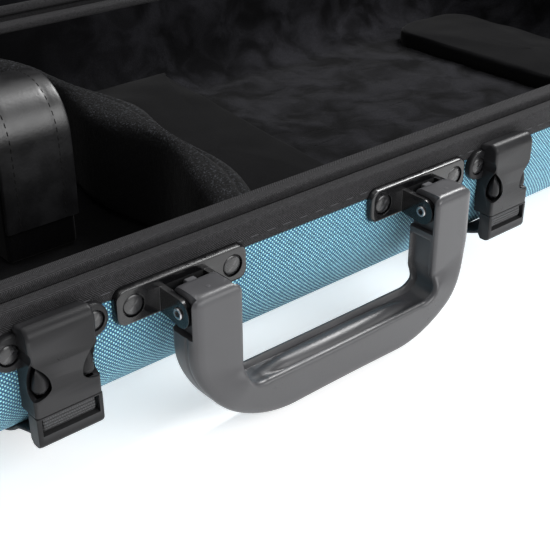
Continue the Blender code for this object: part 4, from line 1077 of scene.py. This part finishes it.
def makeShoulderWall():
    look = shoulderLook
    reach = case["width"] / 2 - case["rimWidth"] - 4 * mm
    loops, stations = [], 120
    for k in range(stations + 1):
        y = reach * (2 * k / stations - 1)
        t = abs(y) / reach
        x = 5 * mm - 6 * mm * t - 17 * mm * t ** 4
        waist = math.sin(math.pi * min(t / 0.75, 1)) ** 2
        half = 13 * mm - 3 * mm * t - 7 * mm * waist
        toEnd = reach - abs(y)
        closing = math.sqrt(max(1 - (1 - min(toEnd / look["end"], 1)) ** 2, 0))
        half *= 0.35 + 0.65 * closing
        top = look["top"] - 7 * mm * (1 - closing)
        low = bowlFloor(y) + 0.3 * mm
        ring = [Vector((x - half, y, low + (top - look["crown"] - low) * j / 8)) for j in range(8)]
        for a in range(25):
            angle = math.pi - math.pi * a / 24
            share = math.cos(angle)
            lift = math.sin(angle) ** 0.75
            valley = math.exp(-((share - look["seamAt"]) / 0.10) ** 2) * 1.5 * mm
            ridge = math.exp(-((share - look["seamAt"] + 0.16) / 0.09) ** 2) * 0.6 * mm
            height = top - look["crown"] + look["crown"] * lift - valley + ridge
            ring.append(Vector((x + half * share, y, height)))
        ring += [Vector((x + half, y, low + (top - look["crown"] - low) * (7 - j) / 8)) for j in range(8)]
        loops.append(ring)
    wall = skin("shoulderWall", loops)
    subdivide(wall)
    ruffle(wall, 1.8 * mm, look["pile"])
    finishPiece(wall, "plush", "base", "plush", "shoulder_wall")


padLook = {"top": 18.6 * mm, "crown": 1.6 * mm, "edge": 3.5 * mm}


def crownedPad(name, outline, sink):
    # outline: points of the pad's widest level; sink(height) tells how far it draws in at a height
    look = padLook
    low = case["floor"] + gap
    middle = Vector((sum(p[0] for p in outline) / len(outline), sum(p[1] for p in outline) / len(outline)))

    def level(inset, height, drawIn=True):
        ring = []
        for px, py in outline:
            toMiddle = middle - Vector((px, py))
            along = toMiddle.normalized() * min(inset, toMiddle.length * 0.95)
            y = py + along.y
            if drawIn:
                limit = sink(height)
                y = max(min(y, limit), -limit)
            ring.append(Vector((px + along.x, y, height)))
        return ring
    edge, top = look["edge"], look["top"]
    levels = [level(1 * mm, low), level(0, low + 1.5 * mm), level(0, low + 4 * mm), level(0, top - edge)]
    for k in range(1, 7):
        angle = math.radians(90 * k / 6)
        levels.append(level(edge * (1 - math.cos(angle)), top - edge * (1 - math.sin(angle))))
    for k in range(1, 9):
        levels.append(level(edge + k * 5 * mm, top + look["crown"] * math.sin(math.pi / 2 * k / 8), False))
    return skin(name, levels)


def makePads():
    halfY = case["width"] / 2 - case["rimWidth"] - mm
    corner = case["fillet"] - case["rimWidth"] + mm
    flat = halfY - corner

    def sink(height):
        up = max(height - case["floor"] - gap, 0)
        return flat + math.sqrt(max(corner * corner - (corner - min(up, corner)) ** 2, 0)) - 0.3 * mm
    outline = []
    for k in range(40):
        y = halfY * (2 * k / 40 - 1)
        outline.append((100 * mm + 14 * mm * y / (case["width"] / 2), y))
    outline += [(114 * mm - 92 * mm * k / 20, halfY) for k in range(20)]
    outline += [(22 * mm, halfY * (1 - 2 * k / 40)) for k in range(40)]
    outline += [(22 * mm + 64 * mm * k / 20, -halfY) for k in range(20)]
    upper = crownedPad("padUpper", outline, sink)
    ruffle(upper, 20 * mm, 0.7 * mm, lambda p: p.z > 17 * mm)
    finishPiece(upper, "velvet", "base", "velvet", "pad_upper")
    halfX = 32.5 * mm
    middle = case["length"] / 2 - 45 * mm - halfX
    lowerOutline = roundRectangle(halfX, case["width"] / 2 - case["fillet"] - 4 * mm, 20 * mm, 8,
                                  (middle, 0), (10, 30))
    lower = crownedPad("padLower", lowerOutline, lambda height: 1.0)
    ruffle(lower, 20 * mm, 0.7 * mm, lambda p: p.z > 17 * mm)
    finishPiece(lower, "velvet", "base", "velvet", "pad_lower")


compartmentLook = {"wall": -249 * mm, "wallThickness": 6 * mm, "top": 56 * mm, "lidThickness": 4 * mm,
                   "cornerRadius": 40 * mm, "left": -376 * mm, "halfY": 122 * mm}


def makeCompartment():
    look = compartmentLook
    levels = []
    for k in range(61):
        y = (look["halfY"] - 0.2 * mm) * (2 * k / 60 - 1)
        levels.append((y, bowlFloor(y) + 0.2 * mm))
    outline = levels + [(levels[-1][0], look["top"]), (levels[0][0], look["top"])]
    wall = prism("compartmentWall", outline, "X", look["wall"], look["wall"] + look["wallThickness"])
    softenEdges(wall, 1.6 * mm, 3, 50)
    finishPiece(wall, "velvet", "base", "velvet", "compartment_wall")
    low = look["top"] + gap
    right, r = look["wall"] + look["wallThickness"], look["cornerRadius"]
    plan = ([(right, look["halfY"])] + arcPoints((look["left"] + r, look["halfY"] - r), r, 90, 180, 12)
            + arcPoints((look["left"] + r, r - look["halfY"]), r, 180, 270, 12) + [(right, -look["halfY"])])
    lid = prism("compartmentLid", plan, "Z", low, low + look["lidThickness"])
    softenEdges(lid, 1.5 * mm, 4, 50)
    finishPiece(lid, "velvet", "compartment_lid", "velvet", "compartment_lid")
    middle, tabY = (look["left"] + right) / 2, -look["halfY"] + 16 * mm
    tabLow = low + look["lidThickness"] + gap
    tab = ([(middle - 8 * mm, tabY + 12 * mm)] + arcPoints((middle, tabY), 8 * mm, 180, 360, 20)
           + [(middle + 8 * mm, tabY + 12 * mm)])
    pull = prism("compartmentTab", tab, "Z", tabLow, tabLow + 1.5 * mm)
    softenEdges(pull, 0.5 * mm, 3, 50)
    finishPiece(pull, "leather", "compartment_lid", "leather", "compartment_tab")
    onRound = arcPoints((middle, tabY), 6 * mm, 180, 360, 11)
    onSides = [(middle + s * 6 * mm, tabY + d * mm) for s in (-1, 1) for d in (2, 4.4, 6.8, 9.2)]
    spots = []
    for px, py in onRound + onSides:
        onSide = py > tabY + 0.5 * mm
        direction = Vector((0, 1, 0)) if onSide else Vector((-(py - tabY), px - middle, 0))
        spots.append((Vector((px, py, tabLow + 1.5 * mm)), direction, Vector((0, 0, 1))))
    seam = stitchRow("compartmentTabSeam", spots, 1.4 * mm, 0.22 * mm)
    finishPiece(seam, "thread", "compartment_lid", "leather")


# Inside the lid

bowLook = {"spinnerX": -290 * mm, "tipX": 300 * mm, "y": 69 * mm}


def makeBowHolders():
    ceiling = lidTop - case["floor"] - gap
    for word, side, in (("front", -1), ("back", 1)):
        y = side * bowLook["y"]
        turning = ((0, 0), (0, 7), (1, 7.2), (2, 6.4), (3, 5), (16, 4.6), (16, 0))
        profile = [(ceiling - down * mm, radius * mm) for down, radius in turning]
        stem = turned(f"bowSpinner{word.title()}", profile, "Z", (bowLook["spinnerX"], y, 0))
        arm = []
        for height, shrink in ((14.6, 1.2), (15.0, 0.5), (15.8, 0), (18.6, 0), (19.5, 0.6), (20, 1.6)):
            arm.append([Vector((a, b, ceiling - height * mm)) for a, b in
                        roundRectangle(9 * mm - shrink * mm, 22 * mm - shrink * mm, 7 * mm - shrink * mm, 8,
                                       (bowLook["spinnerX"], y))])
        spinner = cutOrJoin(stem, "UNION", skin("arm", arm))
        spinner.data.transform(openLid)
        finishPiece(spinner, "knob", f"bow_spinner_{word}", "knob_plastic", f"bow_spinner_{word}")
        ring = roundRectangle(16 * mm, 8 * mm, 5 * mm, 8, (0, 0), (6, 2))
        across = ((-11, 0), (-10.8, 0.5), (-10, 0.7), (10, 0.7), (10.8, 0.5), (11, 0), (10.6, -0.8),
                  (-10.6, -0.8))
        loops = []
        for a, b in ring:
            outward = Vector((a / 16, b / 8)).normalized()
            y0, z0 = y + a, ceiling - 8 * mm + b
            loops.append([Vector((bowLook["tipX"] + s * mm, y0 + outward.x * (d - 0.7) * mm,
                                  z0 + outward.y * (d - 0.7) * mm)) for s, d in across])
        tip = skin(f"bowTipLoop{word.title()}", loops, closed=True)
        tip.data.transform(openLid)
        finishPiece(tip, "webbing", "lid", "webbing", f"bow_tip_loop_{word}")


def opened(y, z):
    spot = openLid @ Vector((0, y, z))
    return Vector((spot.y, spot.z))


def makeStays():
    look = {"inset": 15 * mm, "thickness": 1.2 * mm, "width": 15 * mm, "fromBack": 98 * mm}
    y = back - look["fromBack"]
    foot, head = Vector((y, case["baseDepth"] - 8 * mm)), opened(y, case["baseDepth"] + 0.6 * mm + 8 * mm)
    along = (head - foot).normalized()
    across = Vector((-along.y, along.x))
    for side, word in ((-1, "Left"), (1, "Right")):
        x = side * (case["length"] / 2 - look["inset"] - look["thickness"] / 2)
        loops = []
        for k in range(41):
            centre = foot.lerp(head, k / 40)
            outline = roundRectangle(look["width"] / 2, look["thickness"] / 2, 0.5 * mm, 3, (0, 0), (10, 1))
            loops.append([Vector((x + b, centre.x + across.x * a, centre.y + across.y * a)) for a, b in outline])
        stay = skin(f"lidStay{word}", loops)
        dress(stay, "webbing", "webbing", f"lid_stay_{word.lower()}")
        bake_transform(stay)


def makeHingeCloth():
    # Cloth sewn along the back over the joint of base and lid, in three lengths that leave the hinges free
    look = {"rise": 5.2 * mm, "thickness": 0.45 * mm, "stand": 0.85 * mm, "hingeRoom": 36 * mm,
            "endRoom": 52 * mm}
    y, middle = back + look["stand"], hingeLine.z
    foot, head = Vector((y, middle - look["rise"])), opened(y, middle + look["rise"])
    along = (head - foot).normalized()
    across = Vector((-along.y, along.x)) * look["thickness"] / 2
    far, near = case["hingeAt"] + look["hingeRoom"], case["hingeAt"] - look["hingeRoom"]
    end = case["length"] / 2 - look["endRoom"]
    for word, low, high in (("Left", -end, -far), ("Middle", -near, near), ("Right", far, end)):
        loops = []
        for k in range(13):
            centre = foot.lerp(head, k / 12)
            ring = [Vector((low + (high - low) * i / 20, *(centre + across))) for i in range(21)]
            ring += [Vector((high - (high - low) * i / 20, *(centre - across))) for i in range(21)]
            loops.append(ring)
        cloth = skin(f"hingeCloth{word}", loops)
        dress(cloth, "tape", "tape")
        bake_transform(cloth)


# Hinges and zip sliders

def finishHinges():
    for word in ("left", "right"):
        for name in (f"hinge_leaf_base_{word}", f"hinge_leaf_lid_{word}", f"hinge_pin_{word}"):
            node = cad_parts[name]
            node.data.materials.clear()
            node.data.materials.append(finishes["steel"])
        x = (-1 if word == "left" else 1) * case["hingeAt"]
        head = ((-0.2, 2.6), (0.1, 2.5), (0.5, 1.9), (0.75, 1.0), (0.8, 0))
        profile = [(back + gap + (1.2 + proud) * mm, radius * mm) for proud, radius in head]
        for place, letter in ((-20 * mm, "A"), (0.0, "B"), (20 * mm, "C")):
            for part, rise in (("Base", -12 * mm), ("Lid", 12 * mm)):
                screw = turned(f"hingeScrew{part}{word.title()}{letter}", profile, "Y",
                               (x + place, 0, hingeLine.z + rise), 18)
                if part == "Lid":
                    screw.data.transform(openLid)
                finishPiece(screw, "steel", part.lower(), "hinge_steel")


sliderLook = {"y": 69 * mm, "length": 12 * mm, "height": 8 * mm, "thickness": 3 * mm, "pull": 26 * mm,
              "pullWidth": 8 * mm, "pullThickness": 1.6 * mm}


def makeSliders():
    look = sliderLook
    for side, word in ((-1, "left"), (1, "right")):
        face = side * (case["length"] / 2 + gap)
        middle = case["baseDepth"] + gap
        loops = []
        for share, shrink in ((0, 0.3), (0.25, 0), (0.6, 0.1), (0.85, 0.5), (1.0, 1.3)):
            x = face + side * (0.3 * mm + (look["thickness"] - 0.3 * mm) * share)  # clears the tape's edge
            outline = roundRectangle(look["length"] / 2 - shrink * mm, look["height"] / 2 - shrink * mm,
                                     2.4 * mm, 6)
            loops.append([Vector((x, look["y"] + a, middle + b)) for a, b in outline])
        slider = skin(f"zipSlider{word.title()}", loops)
        finishPiece(slider, "blackSteel", f"slider_{word}", "black_metal", f"zip_slider_{word}")
        near = face + side * (look["thickness"] + 2 * gap)
        centreZ = middle - look["pull"] / 2 + look["pullThickness"] / 2
        loops = []
        for share, shrink in ((0, 0.5), (0.3, 0), (0.7, 0), (1.0, 0.5)):
            x = near + side * look["pullThickness"] * share
            outline = roundRectangle(look["pullWidth"] / 2 - shrink * mm, look["pull"] / 2 - shrink * mm,
                                     3 * mm - shrink * mm, 8)
            loops.append([Vector((x, look["y"] + a, centreZ + b)) for a, b in outline])
        pull = skin(f"zipPuller{word.title()}", loops)
        slot = roundRectangle(1.8 * mm, 6 * mm, 1.7 * mm, 6, (look["y"], centreZ - 4.5 * mm))
        inner, outer = sorted((near, near + side * 3 * mm))
        cutOrJoin(pull, "DIFFERENCE", prism("slot", slot, "X", inner - mm, outer + mm))
        finishPiece(pull, "blackSteel", f"puller_{word}", "black_metal", f"zip_puller_{word}")


makeBase()
makeFeet()
print("base, rim and feet made")
makeLid()
print("lid made")
for side, word in ((-1, "Left"), (1, "Right")):
    makeBracket(side, word)
makeHandle()
print("handle and brackets made")
for side, word in ((-1, "Left"), (1, "Right")):
    makeSocket(side * buckleLook["spread"], word)
    makePlug(side * buckleLook["spread"], word)
    makeWebbingStrap(side * buckleLook["spread"], word)
print("buckles and webbing made")
makeNeckRest()
makeShoulderWall()
makePads()
makeCompartment()
print("inside of the base made")
makeBowHolders()
makeStays()
makeHingeCloth()
finishHinges()
makeSliders()
print("bow holders, stays, hinges and sliders made")


# Floor, light and camera. The floor glows a little, as a lit white table does.

lightLook = {"sky": 0.42, "top": 5.0, "front": 17.0, "side": 22.0, "table": 0.5}


def makeFloor():
    bm = bmesh.new()
    size, z = 60.0, cadBox[0].z
    bm.faces.new([bm.verts.new((x * size, y * size, z)) for x, y in ((-1, -1), (1, -1), (1, 1), (-1, 1))])
    floor = asObject("floor", bm)
    finish, _ = newFinish("paleFloor", (0.90, 0.90, 0.90), 0.8, Emission_Color=(1, 1, 1, 1),
                          Emission_Strength=lightLook["table"])
    floor.data.materials.append(finish)


def makeLight(name, place, aim, size, power):
    data = bpy.data.lights.new(name, "AREA")
    data.shape = "RECTANGLE"
    data.size, data.size_y = size
    data.energy = power
    lamp = bpy.data.objects.new(name, data)
    bpy.context.scene.collection.objects.link(lamp)
    lamp.location = place
    lamp.rotation_euler = (Vector(aim) - Vector(place)).to_track_quat("-Z", "Y").to_euler()


def makeStudio():
    world = bpy.data.worlds.new("studio")
    world.use_nodes = True
    world.node_tree.nodes["Background"].inputs[0].default_value = (1, 1, 1, 1)
    world.node_tree.nodes["Background"].inputs[1].default_value = lightLook["sky"]
    bpy.context.scene.world = world
    bpy.context.scene.view_settings.view_transform = "Standard"  # keeps white white and black black
    makeLight("topLight", (-0.1, 0.35, 1.3), (-0.05, -0.12, 0), (1.5, 0.8), lightLook["top"])
    makeLight("frontLight", (0.4, -1.3, 0.7), (0, -0.14, 0.04), (1.2, 0.8), lightLook["front"])
    makeLight("sideLight", (0.95, 0.0, 1.15), (0, -0.14, 0.04), (0.4, 0.7), lightLook["side"])


cameraLook = {"place": (-0.2429, -0.4024, 0.2329), "turn": (60.42, 0, -40.54), "lens": 70.14}


def makeCamera():
    data = bpy.data.cameras.new("camera")
    data.sensor_width = 36
    data.lens = cameraLook["lens"]
    data.clip_start = 0.01
    camera = bpy.data.objects.new("camera", data)
    bpy.context.scene.collection.objects.link(camera)
    camera.location = cameraLook["place"]
    camera.rotation_euler = [math.radians(a) for a in cameraLook["turn"]]
    bpy.context.scene.camera = camera


makeFloor()
makeStudio()
makeCamera()
print("floor, light and camera made")
